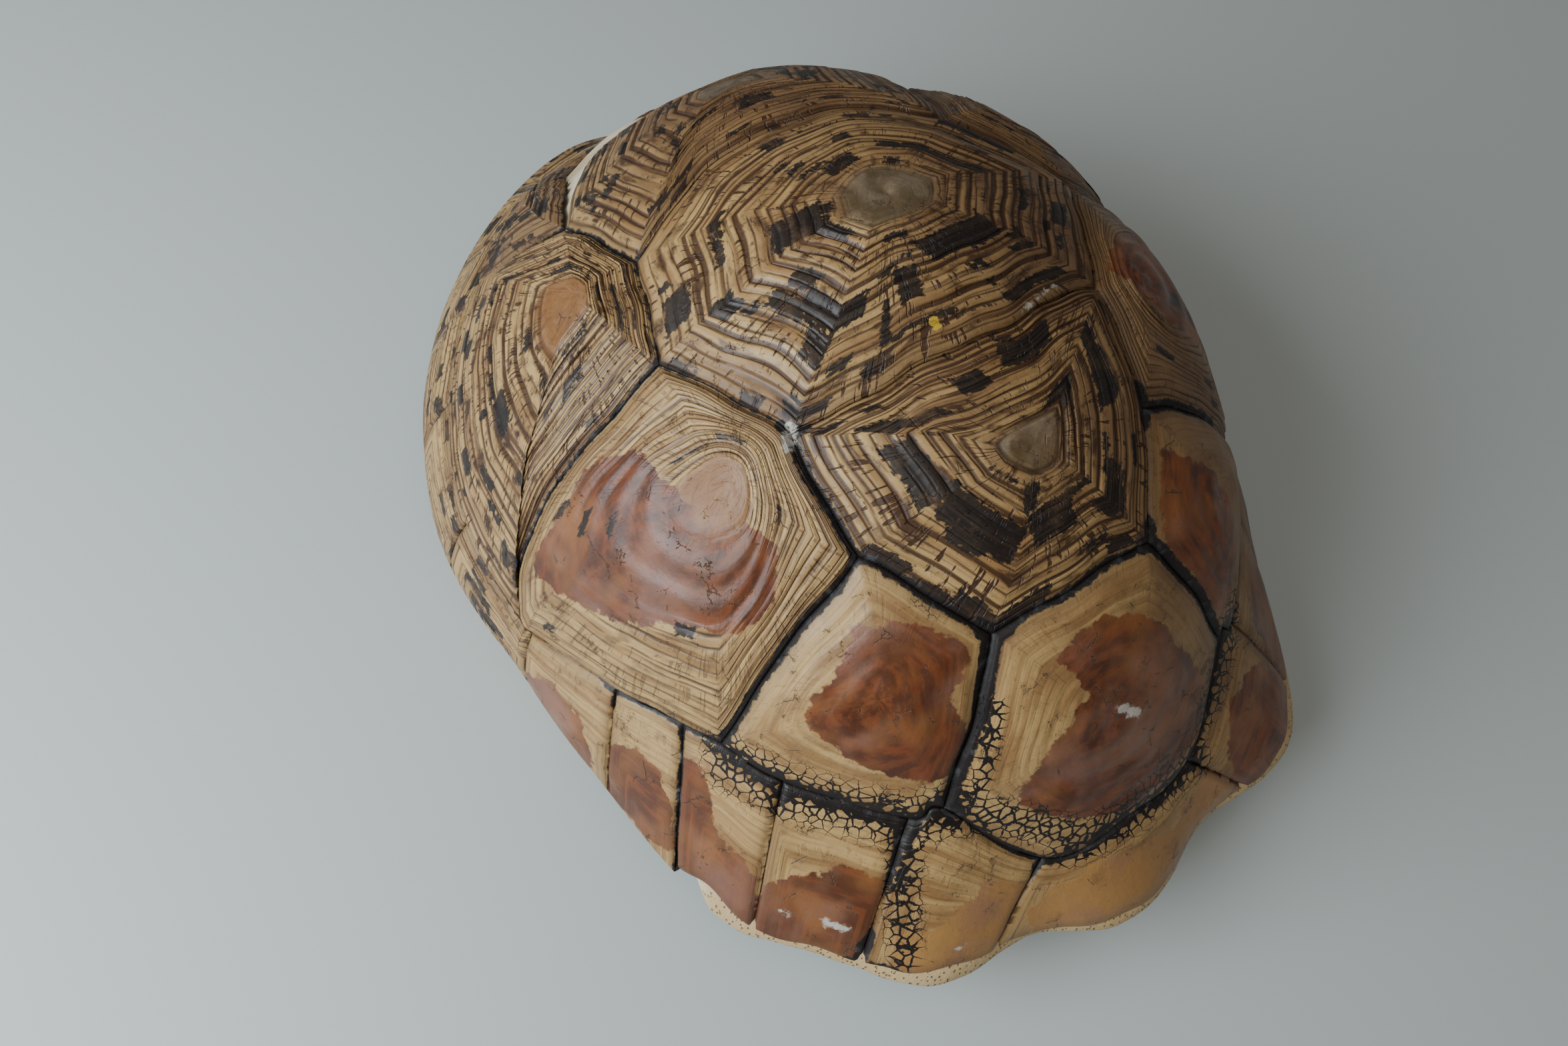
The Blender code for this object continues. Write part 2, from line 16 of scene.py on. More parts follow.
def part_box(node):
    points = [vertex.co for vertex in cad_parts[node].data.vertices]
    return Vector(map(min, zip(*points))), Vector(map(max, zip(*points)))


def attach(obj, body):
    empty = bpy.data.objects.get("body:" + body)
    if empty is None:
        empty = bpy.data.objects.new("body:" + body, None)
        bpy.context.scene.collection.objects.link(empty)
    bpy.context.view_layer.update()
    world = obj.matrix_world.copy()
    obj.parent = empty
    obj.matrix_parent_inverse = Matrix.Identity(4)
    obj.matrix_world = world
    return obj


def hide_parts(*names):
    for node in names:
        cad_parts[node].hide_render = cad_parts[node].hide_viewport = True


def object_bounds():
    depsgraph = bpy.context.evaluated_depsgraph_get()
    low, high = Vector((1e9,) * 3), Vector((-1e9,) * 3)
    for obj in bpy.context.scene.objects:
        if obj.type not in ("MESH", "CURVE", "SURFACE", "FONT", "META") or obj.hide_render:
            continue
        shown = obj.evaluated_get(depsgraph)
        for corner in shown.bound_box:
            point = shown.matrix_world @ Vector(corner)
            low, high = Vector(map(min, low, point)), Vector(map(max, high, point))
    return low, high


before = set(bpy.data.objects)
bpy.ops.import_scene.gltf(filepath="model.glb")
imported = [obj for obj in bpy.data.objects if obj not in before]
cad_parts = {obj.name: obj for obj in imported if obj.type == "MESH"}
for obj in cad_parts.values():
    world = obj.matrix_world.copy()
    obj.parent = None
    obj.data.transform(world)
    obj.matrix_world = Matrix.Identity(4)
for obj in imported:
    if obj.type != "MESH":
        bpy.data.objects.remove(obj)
cad_low, cad_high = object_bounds()

SHELL_LENGTH = 0.3553
SCALE = (cad_high.y - cad_low.y) / SHELL_LENGTH
MM = 0.001

# The shape of the carapace, as in the CAD part. Waves are an angle and a half width, both in degrees,
# and metres outwards.
HALF_WIDTH = 0.131
REAR_REACH = 0.1575
FRONT_REACH = 0.154
DOME_HEIGHT = 0.138
RIM_HEIGHT = 0.034
FRONT_ARCH = 0.022
ROUNDNESS = 1.2
STEEPNESS = 0.99
REAR_FULLNESS = 0.057
FLARE_START = 0.72
REAR_FLARE = (0.0057, 0.026, 0.033)
FRONT_FLARE = (0.0057, 0.010, 0.016)
RIM_WAVES = (
    (-12, 15, 0.003), (28, 10, -0.0025), (46, 5, 0.0035), (66, 5, 0.004), (78, 6, -0.008),
    (100, 7, -0.009), (115, 6, 0.005), (134, 9, -0.008), (192, 15, 0.005), (-90, 6, -0.006),
)
REAR_LIFT = 0.0035
# In the looks only: the front is a little lower, and the flanks are not quite alike. Each swell is an
# angle and a half width, both in degrees, and metres outwards.
FRONT_DIP = 0.0025
FLANK_SWELLS = ((-34, 32, 0.0095), (174, 34, -0.0045))
FLANK_START = (0.5, 0.95)

# Layers, in metres.
SCUTE_THICKNESS = 0.0016
ROOF_CLEARANCE = 0.0008
RIM_CLEARANCE = 0.0014
SEAM_HALF_GAP = 0.00008
ROOF_BONE = 0.0045
RIM_BONE = 0.0075
EDGE_BONE = 0.0026
SWELLS = {"vertebral": 0.0046, "vertebral_1": 0.0015, "costal": 0.0042}
MARGINAL_SWELL = 0.0012
BARE_EDGE_DEPTH = 0.0004
# Where the rear horn ends on the chart, and how far it is worn back, as RIM_WAVES is written.
FREE_EDGE = 0.999
BARE_WAVES = ((44, 4, -0.020), (67, 5, -0.013), (86, 5, -0.004), (117, 6, -0.009), (129, 4, -0.008))
# Where the bone ends under wrapped scutes, and where those scutes end below it.
BONE_EDGE = 0.988
LIP_START = 0.955
LIP_BULGE = 0.0016
BONE_BULGE = 0.0012
INNER_END = 0.994

# Where scute seams meet on the chart, on the left side, and on the right where it differs.
CORNERS = {
    "v1_c1_m": (0.165, -0.830),
    "v1_v2_c1": (0.225, -0.565),
    "v2_c1_c2": (0.347, -0.423),
    "v2_v3_c2": (0.327, -0.228),
    "v3_c2_c3": (0.410, -0.036),
    "v3_v4_c3": (0.293, 0.197),
    "v4_c3_c4": (0.268, 0.361),
    "v4_v5_c4": (0.136, 0.514),
}
RIGHT_CORNERS = {
    "v2_v3_c2": (-0.281, -0.215),
    "v3_c2_c3": (-0.463, -0.031),
    "v4_c3_c4": (-0.231, 0.364),
}
# The seam above the marginal scutes, from front to back: a name, and its angle and radius on the chart.
MARGINAL_SEAM = (
    ("nape", -90, 0.860),
    ("v1_c1_m", -78.8, 0.846),
    ("m1_m2", -74, 0.840),
    ("m2_m3", -61, 0.815),
    ("c1_c2_m", -50, 0.800),
    ("m3_m4", -47, 0.802),
    ("m4_m5", -31, 0.830),
    ("m5_m6", -13, 0.872),
    ("c2_c3_m", 3.7, 0.890),
    ("m6_m7", 6.5, 0.886),
    ("m7_m8", 23, 0.815),
    ("m8_m9", 34, 0.785),
    ("c3_c4_m", 39.7, 0.778),
    ("m9_m10", 48.6, 0.790),
    ("m10_m11", 64, 0.800),
    ("v5_c4_m", 68, 0.783),
    ("m11_tail", 79.5, 0.888),
    ("tail", 90, 0.873),
)
MARGINAL_ENDS = (
    "nape", "m1_m2", "m2_m3", "m3_m4", "m4_m5", "m5_m6",
    "m6_m7", "m7_m8", "m8_m9", "m9_m10", "m10_m11", "m11_tail",
)
RIM_SEAMS = (-90, -73, -59, -45, -29.5, -12.5, 8, 26.7, 38.7, 48.6, 59.6, 73)
FREE_EDGED_MARGINALS = (9, 10, 11)
# These wear to an orange tan, and the others to chestnut.
TAN_WORN = ("marginal_11_left", "supracaudal")
CENTRES = {
    "vertebral_1": (0.0, -0.70),
    "vertebral_2": (0.0, -0.42),
    "vertebral_3": (-0.016, -0.041),
    "vertebral_4": (-0.011, 0.335),
    "vertebral_5": (0.017, 0.676),
    "costal_1": (0.345, -0.63),
    "costal_2": (0.418, -0.237),
    "costal_3": (0.384, 0.196),
    "costal_4": (0.312, 0.523),
}

# The plastron, as in the CAD part.
FLAT_HALF_WIDTHS = (
    (0.0, 0.030), (0.06, 0.047), (0.15, 0.063), (0.28, 0.075), (0.50, 0.081), (0.72, 0.077),
    (0.85, 0.069), (0.94, 0.054), (1.0, 0.036),
)
PLASTRON_FRONT = (-0.137, -0.131)
PLASTRON_REAR = (0.106, 0.124)
FLAT_SHARE = 0.6
BRIDGE_START = (0.20, 0.33)
BRIDGE_END = (0.66, 0.80)
LOBE_UPTURN = 0.06
BRIDGE_GAP = 0.0036
PLASTRON_CLEARANCE = 0.0018
PLASTRON_BONE = 0.0055
PLASTRAL_SEAMS = (
    (0.0, 0.0), (0.135, 0.085), (0.26, 0.26), (0.345, 0.37), (0.70, 0.73), (0.875, 0.90), (1.0, 1.0),
)
PLASTRAL_GAP = 0.0006
PLASTRAL_ROW_SPACING = 1.1
PLASTRAL_NAMES = ("gular", "humeral", "pectoral", "abdominal", "femoral", "anal")
UP = (0, 0, 1)

# How finely the surfaces are meshed, in millimetres, and on the chart for outlines.
RING_SPACING = 0.75
RIM_ROW_SPACING = 1.2 * RING_SPACING
OUTLINE_SPACING = 0.0072
WOBBLE = 0.0032
# Over which shares of the way out the rings turn from ovals into the outline's shape: strong rings
# early, and weak ones late.
CRISP_RINGS = (0.05, 0.32)
ROUND_RINGS = (0.25, 0.98)
LOOKS_ENDING = "_looks"
SHEEN_LEVEL = 0.36

plastron_low, plastron_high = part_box("plastron_bone")
SHIFT = np.array([
    (plastron_low.x + plastron_high.x) / 2,
    plastron_low.y - PLASTRON_FRONT[0] * SCALE,
    cad_low.z,
])


def to_frame(points):
    return points * SCALE + SHIFT


def smoothstep(value, start, end):
    share = np.clip((value - start) / (end - start), 0, 1)
    return share * share * (3 - 2 * share)


def bump(distance, width):
    """1 at no distance, and fading smoothly to almost nothing at twice the width."""
    return np.exp(-((distance / width) ** 2))


def unit(vectors):
    return vectors / np.linalg.norm(vectors, axis=-1, keepdims=True)


# The carapace's shape.


def rim_flare(angle):
    """Metres that the rim turns out by at these angles, in radians."""
    rearward = np.sin(angle)
    end_share = rearward**2
    side, corner, end = np.where(
        rearward[..., None] > 0, REAR_FLARE, FRONT_FLARE
    ).transpose(-1, *range(rearward.ndim))
    flare = side * (1 - end_share) * (1 - 2 * end_share)
    flare = flare + 4 * corner * end_share * (1 - end_share)
    flare = flare + end * end_share * (2 * end_share - 1)
    return flare + waves_round(angle, RIM_WAVES)


def waves_round(angle, waves):
    """The sum of smooth bumps round the rim, each a centre and a half width in degrees and a height."""
    total = np.zeros_like(angle)
    for centre, half_width, height in waves:
        away = (np.degrees(angle) - centre + 180) % 360 - 180
        total = total + height * bump(away, half_width)
    return total


def outer_skin(chart):
    """Places on the smooth outside of the carapace, for an array of chart points."""
    radius = np.hypot(chart[..., 0], chart[..., 1])
    angle = np.arctan2(chart[..., 1], chart[..., 0])
    sideways, rearward = np.cos(angle), np.sin(angle)
    reach = np.where(rearward > 0, REAR_REACH, FRONT_REACH)
    plan = 1 / np.hypot(sideways / HALF_WIDTH, rearward / reach)
    slope = np.minimum(radius, 1) * math.pi / 2
    edge_share = np.clip((radius - FLARE_START) / (1 - FLARE_START), 0, 1) ** 2
    out = plan * np.sin(slope) ** ROUNDNESS
    out = out + edge_share * rim_flare(angle)
    out = out + smoothstep(radius, *FLANK_START) * waves_round(angle, FLANK_SWELLS)
    height = DOME_HEIGHT * np.cos(slope).clip(1e-6) ** (STEEPNESS - REAR_FULLNESS * rearward)
    height = height + edge_share * REAR_LIFT * np.clip(rearward, 0, 1) ** 2
    height = height + edge_share * FRONT_ARCH * np.clip(-rearward, 0, 1) ** 3
    height = height - FRONT_DIP * smoothstep(radius, 0.3, 0.7) * np.clip(-rearward, 0, 1)
    return np.stack([out * sideways, out * rearward, RIM_HEIGHT + height], -1)


def outward(chart):
    """The outward normals there."""
    step = 0.003
    radius = np.maximum(np.hypot(chart[..., 0], chart[..., 1]), 1e-9)
    inside = chart * np.minimum(1, (1 - 2 * step) / radius)[..., None]
    across = outer_skin(inside + (step, 0)) - outer_skin(inside - (step, 0))
    along = outer_skin(inside + (0, step)) - outer_skin(inside - (0, step))
    return unit(np.cross(across, along))


def wobbled(chart):
    """Chart points shifted a little, so that seams and rings wander as grown ones do."""
    u, v = chart[..., 0], chart[..., 1]
    fade = WOBBLE * np.clip(1.15 - u * u - v * v, 0, 1)
    across = np.sin(23 * v + 3 * np.sin(9 * u)) + 0.5 * np.sin(61 * v + 17 * u + 1)
    along = np.sin(25 * u + 2 * np.sin(11 * v) + 2) + 0.5 * np.sin(57 * u - 19 * v + 4)
    return chart + np.stack([across * fade, along * fade], -1)


def raised(chart, height):
    """Places at a height above the smooth outside, for an array of the chart's shape."""
    return outer_skin(chart) + outward(chart) * np.broadcast_to(height, chart.shape[:-1])[..., None]


def clearance(radius):
    return ROOF_CLEARANCE + (RIM_CLEARANCE - ROOF_CLEARANCE) * smoothstep(radius, 0.7, 0.85)


def bone_top(radius):
    return SCUTE_THICKNESS + clearance(radius)


def rim_tangent(rim):
    """The directions in which the skin runs out over the rim there."""
    return unit(outer_skin(rim * 0.999) - outer_skin(rim * 0.985))


def bone_depth(radius):
    thicker = smoothstep(radius, 0.6, 0.85) * (RIM_BONE - ROOF_BONE)
    thinner = smoothstep(radius, 0.88, 1.0) * (RIM_BONE - EDGE_BONE)
    return bone_top(radius) + ROOF_BONE + thicker - thinner


def polar(degrees, radius):
    angle = math.radians(degrees)
    return (radius * math.cos(angle), radius * math.sin(angle))


# Meshes.


def grid_quads(numbers, is_ring):
    """The quads between the rows of a grid of vertex numbers. Rows are lines, or closed rings."""
    if is_ring:
        numbers = np.concatenate([numbers, numbers[:, :1]], axis=1)
    corners = numbers[:-1, :-1], numbers[:-1, 1:], numbers[1:, 1:], numbers[1:, :-1]
    return np.stack(corners, -1).reshape(-1, 4)


def fan(row, tip):
    """The triangles between a closed ring of vertex numbers and one tip."""
    return np.stack([row, np.roll(row, -1), np.full_like(row, tip)], -1)


def signed_volume(places, quads, triangles):
    halves = np.concatenate([quads[:, [0, 1, 2]], quads[:, [0, 2, 3]], triangles])
    a, b, c = (places[halves[:, k]] for k in range(3))
    return float((np.cross(a, b) * c).sum())


def make_piece(name, places, quads, triangles, fields, material):
    """A closed mesh with number fields on its points, which stands for the node of that name."""
    if signed_volume(places, quads, triangles) < 0:
        quads, triangles = quads[:, ::-1], triangles[:, ::-1]
    mesh = bpy.data.meshes.new(name)
    mesh.vertices.add(len(places))
    mesh.vertices.foreach_set("co", to_frame(places).astype(np.float32).ravel())
    mesh.loops.add(quads.size + triangles.size)
    mesh.loops.foreach_set("vertex_index", np.concatenate([quads.ravel(), triangles.ravel()]))
    sizes = np.repeat([4, 3], [len(quads), len(triangles)])
    mesh.polygons.add(len(sizes))
    mesh.polygons.foreach_set("loop_start", np.concatenate([[0], np.cumsum(sizes)[:-1]]))
    mesh.polygons.foreach_set("use_smooth", np.ones(len(sizes), bool))
    for key, values in fields.items():
        kind, slot = ("FLOAT", "value") if values.ndim == 1 else ("FLOAT_VECTOR", "vector")
        attribute = mesh.attributes.new(key, kind, "POINT")
        attribute.data.foreach_set(slot, values.astype(np.float32).ravel())
    mesh.update()
    mesh.validate()
    mesh.materials.append(material)
    piece = bpy.data.objects.new(name + LOOKS_ENDING, mesh)
    bpy.context.scene.collection.objects.link(piece)
    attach(piece, "root")
    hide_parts(name)
    return piece


def domed_piece(name, rings, fields, material):
    """A closed piece of rings from near the top's middle, over the edge and back to the middle below."""
    rows, columns = rings.shape[:2]
    count = rows * columns
    numbers = np.arange(count).reshape(rows, columns)
    places = np.concatenate([rings.reshape(-1, 3), [rings[0].mean(axis=0), rings[-1].mean(axis=0)]])
    triangles = np.concatenate([fan(numbers[0], count)[:, ::-1], fan(numbers[-1], count + 1)])
    flat = {}
    for key, values in fields.items():
        body = values.reshape((count,) + values.shape[2:])
        flat[key] = np.concatenate([body, body[:1], body[-1:]])
    return make_piece(name, places, grid_quads(numbers, True), triangles, flat, material)


def sleeve_piece(name, rows, fields, material):
    """A closed piece of rows that go round its cross-section, closed by a strip at each end."""
    count, columns = rows.shape[:2]
    numbers = np.arange(count * columns).reshape(count, columns)
    looped = np.concatenate([numbers, numbers[:1]])
    quads = grid_quads(looped, False)
    half = count // 2
    for end, turn in ((0, 1), (columns - 1, -1)):
        line = numbers[:, end]
        pairs = np.stack([line[:half], line[: count - half - 1 : -1]])
        quads = np.concatenate([quads, grid_quads(pairs, False)[:, ::turn]])
    flat = {key: values.reshape((count * columns,) + values.shape[2:]) for key, values in fields.items()}
    return make_piece(name, rows.reshape(-1, 3), quads, np.zeros((0, 3), int), flat, material)


# Scute outlines.


def smooth_line(points, spacing=OUTLINE_SPACING):
    """A smooth line through the points, with places about every spacing."""
    points = np.array(points, float)
    padded = np.concatenate([2 * points[:1] - points[1:2], points, 2 * points[-1:] - points[-2:-1]])
    line = []
    for before, start, end, after in zip(padded, padded[1:], padded[2:], padded[3:]):
        count = max(2, math.ceil(np.linalg.norm(end - start) / spacing))
        t = (np.arange(count) / count)[:, None]
        line.append(
            start
            + 0.5 * t * (end - before)
            + t**2 * (before - 2.5 * start + 2 * end - 0.5 * after)
            + t**3 * (1.5 * (start - end) + 0.5 * (after - before))
        )
    return np.concatenate(line + [points[-1:]])


def seam_corner(name, side):
    """A corner of scutes on the chart. side is 1 for the left and -1 for the right."""
    if side < 0 and name in RIGHT_CORNERS:
        return RIGHT_CORNERS[name]
    places = {key: polar(degrees, radius) for key, degrees, radius in MARGINAL_SEAM}
    x, y = {**places, **CORNERS}[name]
    return (side * x, y)


def marginal_line(start, end, side):
    """The smooth seam above the marginals between two of its named points, front to back."""
    names = [key for key, _, _ in MARGINAL_SEAM]
    points = np.array([seam_corner(key, side) for key in names])
    first, last = names.index(start), names.index(end)
    whole = smooth_line(points)
    lengths = np.linalg.norm(np.diff(points, axis=0), axis=1)
    counts = np.maximum(2, np.ceil(lengths / OUTLINE_SPACING)).astype(int)
    marks = np.concatenate([[0], np.cumsum(counts)])
    return whole[marks[first] : marks[last] + 1]


def across_midline(name, bow):
    """The seam between two vertebrals, from left to right, bowed along v on the midline."""
    left, right = np.array(seam_corner(name, 1)), np.array(seam_corner(name, -1))
    middle = (left + right) / 2 + (0, bow)
    quarters = [(end + middle) / 2 + (0, bow * 0.3) for end in (left, right)]
    return smooth_line([left, quarters[0], middle, quarters[1], right])


VERTEBRAL_SEAMS = {
    "v1_v2_c1": across_midline("v1_v2_c1", 0.03),
    "v2_v3_c2": across_midline("v2_v3_c2", -0.065),
    "v3_v4_c3": across_midline("v3_v4_c3", 0.01),
    "v4_v5_c4": across_midline("v4_v5_c4", -0.008),
}
COSTAL_SEAM_ENDS = {
    "c1_c2": ("v2_c1_c2", "c1_c2_m", ((0.455, -0.545),)),
    "c2_c3": ("v3_c2_c3", "c2_c3_m", ((0.654, -0.025), (0.80, 0.0))),
    "c3_c4": ("v4_c3_c4", "c3_c4_m", ((0.43, 0.425),)),
}
# The corners of vertebrals 2 to 4: ahead, on the flank and behind.
MIDDLE_VERTEBRALS = (
    ("v1_v2_c1", "v2_c1_c2", "v2_v3_c2"),
    ("v2_v3_c2", "v3_c2_c3", "v3_v4_c3"),
    ("v3_v4_c3", "v4_c3_c4", "v4_v5_c4"),
)
# The costals from the front: their corners along the vertebrals, and the seams ahead and behind.
COSTALS = (
    (("v2_c1_c2", "v1_v2_c1", "v1_c1_m"), None, "c1_c2"),
    (("v3_c2_c3", "v2_v3_c2", "v2_c1_c2"), "c1_c2", "c2_c3"),
    (("v4_c3_c4", "v3_v4_c3", "v3_c2_c3"), "c2_c3", "c3_c4"),
    (("v4_v5_c4", "v4_c3_c4"), "c3_c4", None),
)


def straight(start, end, side):
    return smooth_line([seam_corner(start, side), seam_corner(end, side)])


def costal_seam(name, side):
    """The seam between two costals, from the vertebrals down to the marginals."""
    top, bottom, middle = COSTAL_SEAM_ENDS[name]
    between = [(side * x, y) for x, y in middle]
    return smooth_line([seam_corner(top, side)] + between + [seam_corner(bottom, side)])


def closed_outline(lines):
    """One closed outline from lines that follow each other."""
    return np.concatenate([line[:-1] for line in lines])


def vertebral_outlines():
    seams = VERTEBRAL_SEAMS
    nape, nape_right = (marginal_line("nape", "v1_c1_m", side) for side in (1, -1))
    tail, tail_right = (marginal_line("v5_c4_m", "tail", side) for side in (1, -1))
    first = [nape_right[::-1], nape, straight("v1_c1_m", "v1_v2_c1", 1), seams["v1_v2_c1"]]
    first.append(straight("v1_v2_c1", "v1_c1_m", -1))
    outlines = {"vertebral_1": closed_outline(first)}
    for number, (ahead, flank, behind) in enumerate(MIDDLE_VERTEBRALS, 2):
        down = [straight(ahead, flank, 1), straight(flank, behind, 1)]
        up = [straight(behind, flank, -1), straight(flank, ahead, -1)]
        outlines[f"vertebral_{number}"] = closed_outline([seams[ahead][::-1], *down, seams[behind], *up])
    last = [seams["v4_v5_c4"][::-1], straight("v4_v5_c4", "v5_c4_m", 1), tail, tail_right[::-1]]
    last.append(straight("v5_c4_m", "v4_v5_c4", -1))
    outlines["vertebral_5"] = closed_outline(last)
    return outlines


def costal_outlines(side):
    """Each goes forwards along the vertebrals, down the seam ahead, back along the marginals and up."""
    seams = {name: costal_seam(name, side) for name in COSTAL_SEAM_ENDS}
    outlines = {}
    for number, (corners, ahead, behind) in enumerate(COSTALS, 1):
        front, rear = ahead or corners[-1], behind or "v5_c4_m"
        lines = [straight(start, end, side) for start, end in zip(corners, corners[1:])]
        if ahead:
            lines.append(seams[ahead])
            front += "_m"
        if behind:
            rear += "_m"
        lines.append(marginal_line(front, rear, side))
        lines.append(seams[behind][::-1] if behind else straight(rear, corners[0], side))
        outlines[f"costal_{number}"] = closed_outline(lines)
    return outlines


# Markings. Places are chart points, and sizes are millimetres along the rings and across them.

BLOTCHES = {
    "vertebral_3": (
        (-0.08, 0.08, 26, 11), (0.04, 0.11, 8, 12), (0.10, 0.14, 4, 13), (0.05, 0.16, 21, 3),
        (0.17, 0.10, 20, 8), (0.18, 0.02, 8, 6), (0.14, -0.07, 10, 14), (0.22, 0.04, 12, 6),
        (0.29, -0.03, 8, 7), (0.34, -0.09, 12, 8), (0.24, -0.12, 10, 4), (-0.11, -0.13, 16, 6),
        (0.01, -0.13, 11, 7), (0.05, -0.24, 8, 7), (-0.33, -0.12, 12, 8), (-0.18, -0.07, 18, 5),
        (-0.16, 0.17, 26, 5), (0.14, 0.18, 11, 5), (0.26, 0.18, 16, 4), (0.33, 0.12, 8, 7),
        (0.39, 0.0, 10, 5), (0.21, 0.12, 9, 9), (-0.32, 0.06, 12, 7), (-0.27, -0.17, 16, 6),
    ),
    "vertebral_4": (
        (0.10, 0.39, 26, 11), (0.15, 0.31, 20, 9), (0.01, 0.42, 15, 12), (0.03, 0.39, 6, 8),
        (-0.09, 0.43, 18, 8), (0.13, 0.40, 13, 5), (0.16, 0.25, 9, 9), (0.11, 0.26, 12, 5),
        (0.03, 0.25, 10, 9), (-0.07, 0.24, 20, 11), (-0.17, 0.27, 11, 8), (-0.16, 0.31, 16, 10),
        (-0.08, 0.30, 13, 6), (0.24, 0.38, 14, 8), (0.19, 0.45, 22, 7), (0.11, 0.50, 28, 6),
        (-0.02, 0.51, 22, 5), (-0.10, 0.39, 12, 3),
    ),
    "costal_2_left": (
        (0.40, -0.35, 8, 6), (0.39, -0.17, 18, 6), (0.63, -0.21, 14, 8), (0.67, -0.37, 8, 5),
        (0.51, -0.13, 10, 6), (0.53, -0.05, 8, 4), (0.60, -0.45, 9, 5), (0.75, -0.25, 9, 6),
        (0.46, -0.42, 12, 5),
    ),
}
# How many more blotches fall at random, how strong the rings are, how dark the horn is, the height of
# its broad waves in millimetres, and how red its areola is.
LOOKS = {
    "vertebral_1": (50, 1.4, 0.60, 0.0, 0.0),
    "vertebral_2": (80, 1.5, 0.55, 0.0, 0.0),
    "vertebral_3": (40, 1.5, 0.25, 0.0, 0.0),
    "vertebral_4": (14, 1.6, 0.15, 0.0, 0.1),
    "vertebral_5": (0, 0.25, 0.15, 0.12, 1.0),
    "costal_1_left": (60, 1.5, 0.90, 0.0, 0.5),
    "costal_2_left": (38, 2.0, 0.30, 0.0, 0.9),
    "costal_3_left": (8, 0.75, 0.0, 0.24, 1.0),
    "costal_4_left": (0, 0.25, 0.0, 0.12, 1.0),
    "costal_1_right": (46, 1.4, 0.4, 0.0, 0.5),
    "costal_2_right": (40, 1.5, 0.4, 0.0, 0.6),
    "costal_3_right": (12, 0.7, 0.4, 0.4, 1.0),
    "costal_4_right": (0, 0.25, 0.3, 0.12, 1.0),
}
AREOLA_SHARES = {"vertebral_3": 0.22, "costal_3_left": 0.20, "costal_2_left": 0.20}
# Outlines on the chart of the worn chestnut patches.
PATCHES = {
    "costal_3_left": (
        (0.49, 0.05), (0.57, 0.01), (0.67, 0.02), (0.77, 0.04), (0.73, 0.14), (0.66, 0.23),
        (0.56, 0.31), (0.46, 0.37), (0.38, 0.35), (0.37, 0.27), (0.44, 0.22), (0.46, 0.13),
    ),
    "costal_4_left": (
        (0.30, 0.43), (0.24, 0.45), (0.19, 0.49), (0.17, 0.53), (0.22, 0.56), (0.21, 0.62),
        (0.25, 0.68), (0.33, 0.65), (0.39, 0.59), (0.43, 0.50), (0.37, 0.47),
    ),
    "vertebral_5": (
        (0.08, 0.57), (0.0, 0.55), (-0.08, 0.58), (-0.15, 0.67), (-0.22, 0.78), (-0.18, 0.84),
        (-0.07, 0.86), (0.07, 0.84), (0.18, 0.76), (0.13, 0.69), (0.05, 0.63),
    ),
    "costal_4_right": (
        (-0.22, 0.42), (-0.29, 0.46), (-0.35, 0.53), (-0.36, 0.61), (-0.29, 0.69), (-0.19, 0.57),
        (-0.16, 0.50),
    ),
    "costal_3_right": (
        (-0.33, 0.17), (-0.44, 0.10), (-0.58, 0.10), (-0.66, 0.20), (-0.56, 0.32), (-0.38, 0.27),
    ),
    "marginal_7_left": (
        (0.97, 0.13), (0.88, 0.22), (0.87, 0.36), (0.93, 0.40), (1.02, 0.28),
    ),
    "marginal_8_left": (
        (0.84, 0.38), (0.76, 0.42), (0.73, 0.50), (0.76, 0.60), (0.86, 0.52), (0.92, 0.40),
    ),
    "marginal_9_left": (
        (0.68, 0.48), (0.64, 0.53), (0.66, 0.60), (0.62, 0.69), (0.68, 0.80), (0.80, 0.66),
        (0.76, 0.56),
    ),
    "marginal_10_left": (
        (0.61, 0.70), (0.55, 0.715), (0.49, 0.73), (0.40, 0.79), (0.44, 0.92), (0.58, 0.88),
        (0.72, 0.76),
    ),
    "marginal_11_left": (
        (0.44, 0.84), (0.34, 0.86), (0.24, 0.86), (0.18, 0.95), (0.30, 1.02), (0.46, 0.97),
    ),
    "supracaudal": (
        (0.22, 0.93), (0.10, 0.90), (0.0, 0.91), (-0.10, 0.93), (-0.24, 0.90), (-0.26, 1.02),
        (0.0, 1.04), (0.20, 1.03),
    ),
    "marginal_11_right": (
        (-0.28, 0.82), (-0.38, 0.79), (-0.48, 0.85), (-0.48, 0.92), (-0.30, 0.97), (-0.25, 0.90),
    ),
    "marginal_10_right": (
        (-0.42, 0.74), (-0.54, 0.66), (-0.70, 0.74), (-0.60, 0.86), (-0.48, 0.90),
    ),
    "marginal_9_right": (
        (-0.64, 0.58), (-0.76, 0.52), (-0.82, 0.62), (-0.70, 0.76), (-0.62, 0.68),
    ),
    "marginal_8_right": (
        (-0.72, 0.46), (-0.88, 0.38), (-0.95, 0.45), (-0.82, 0.60),
    ),
}
CHART_MM = 150
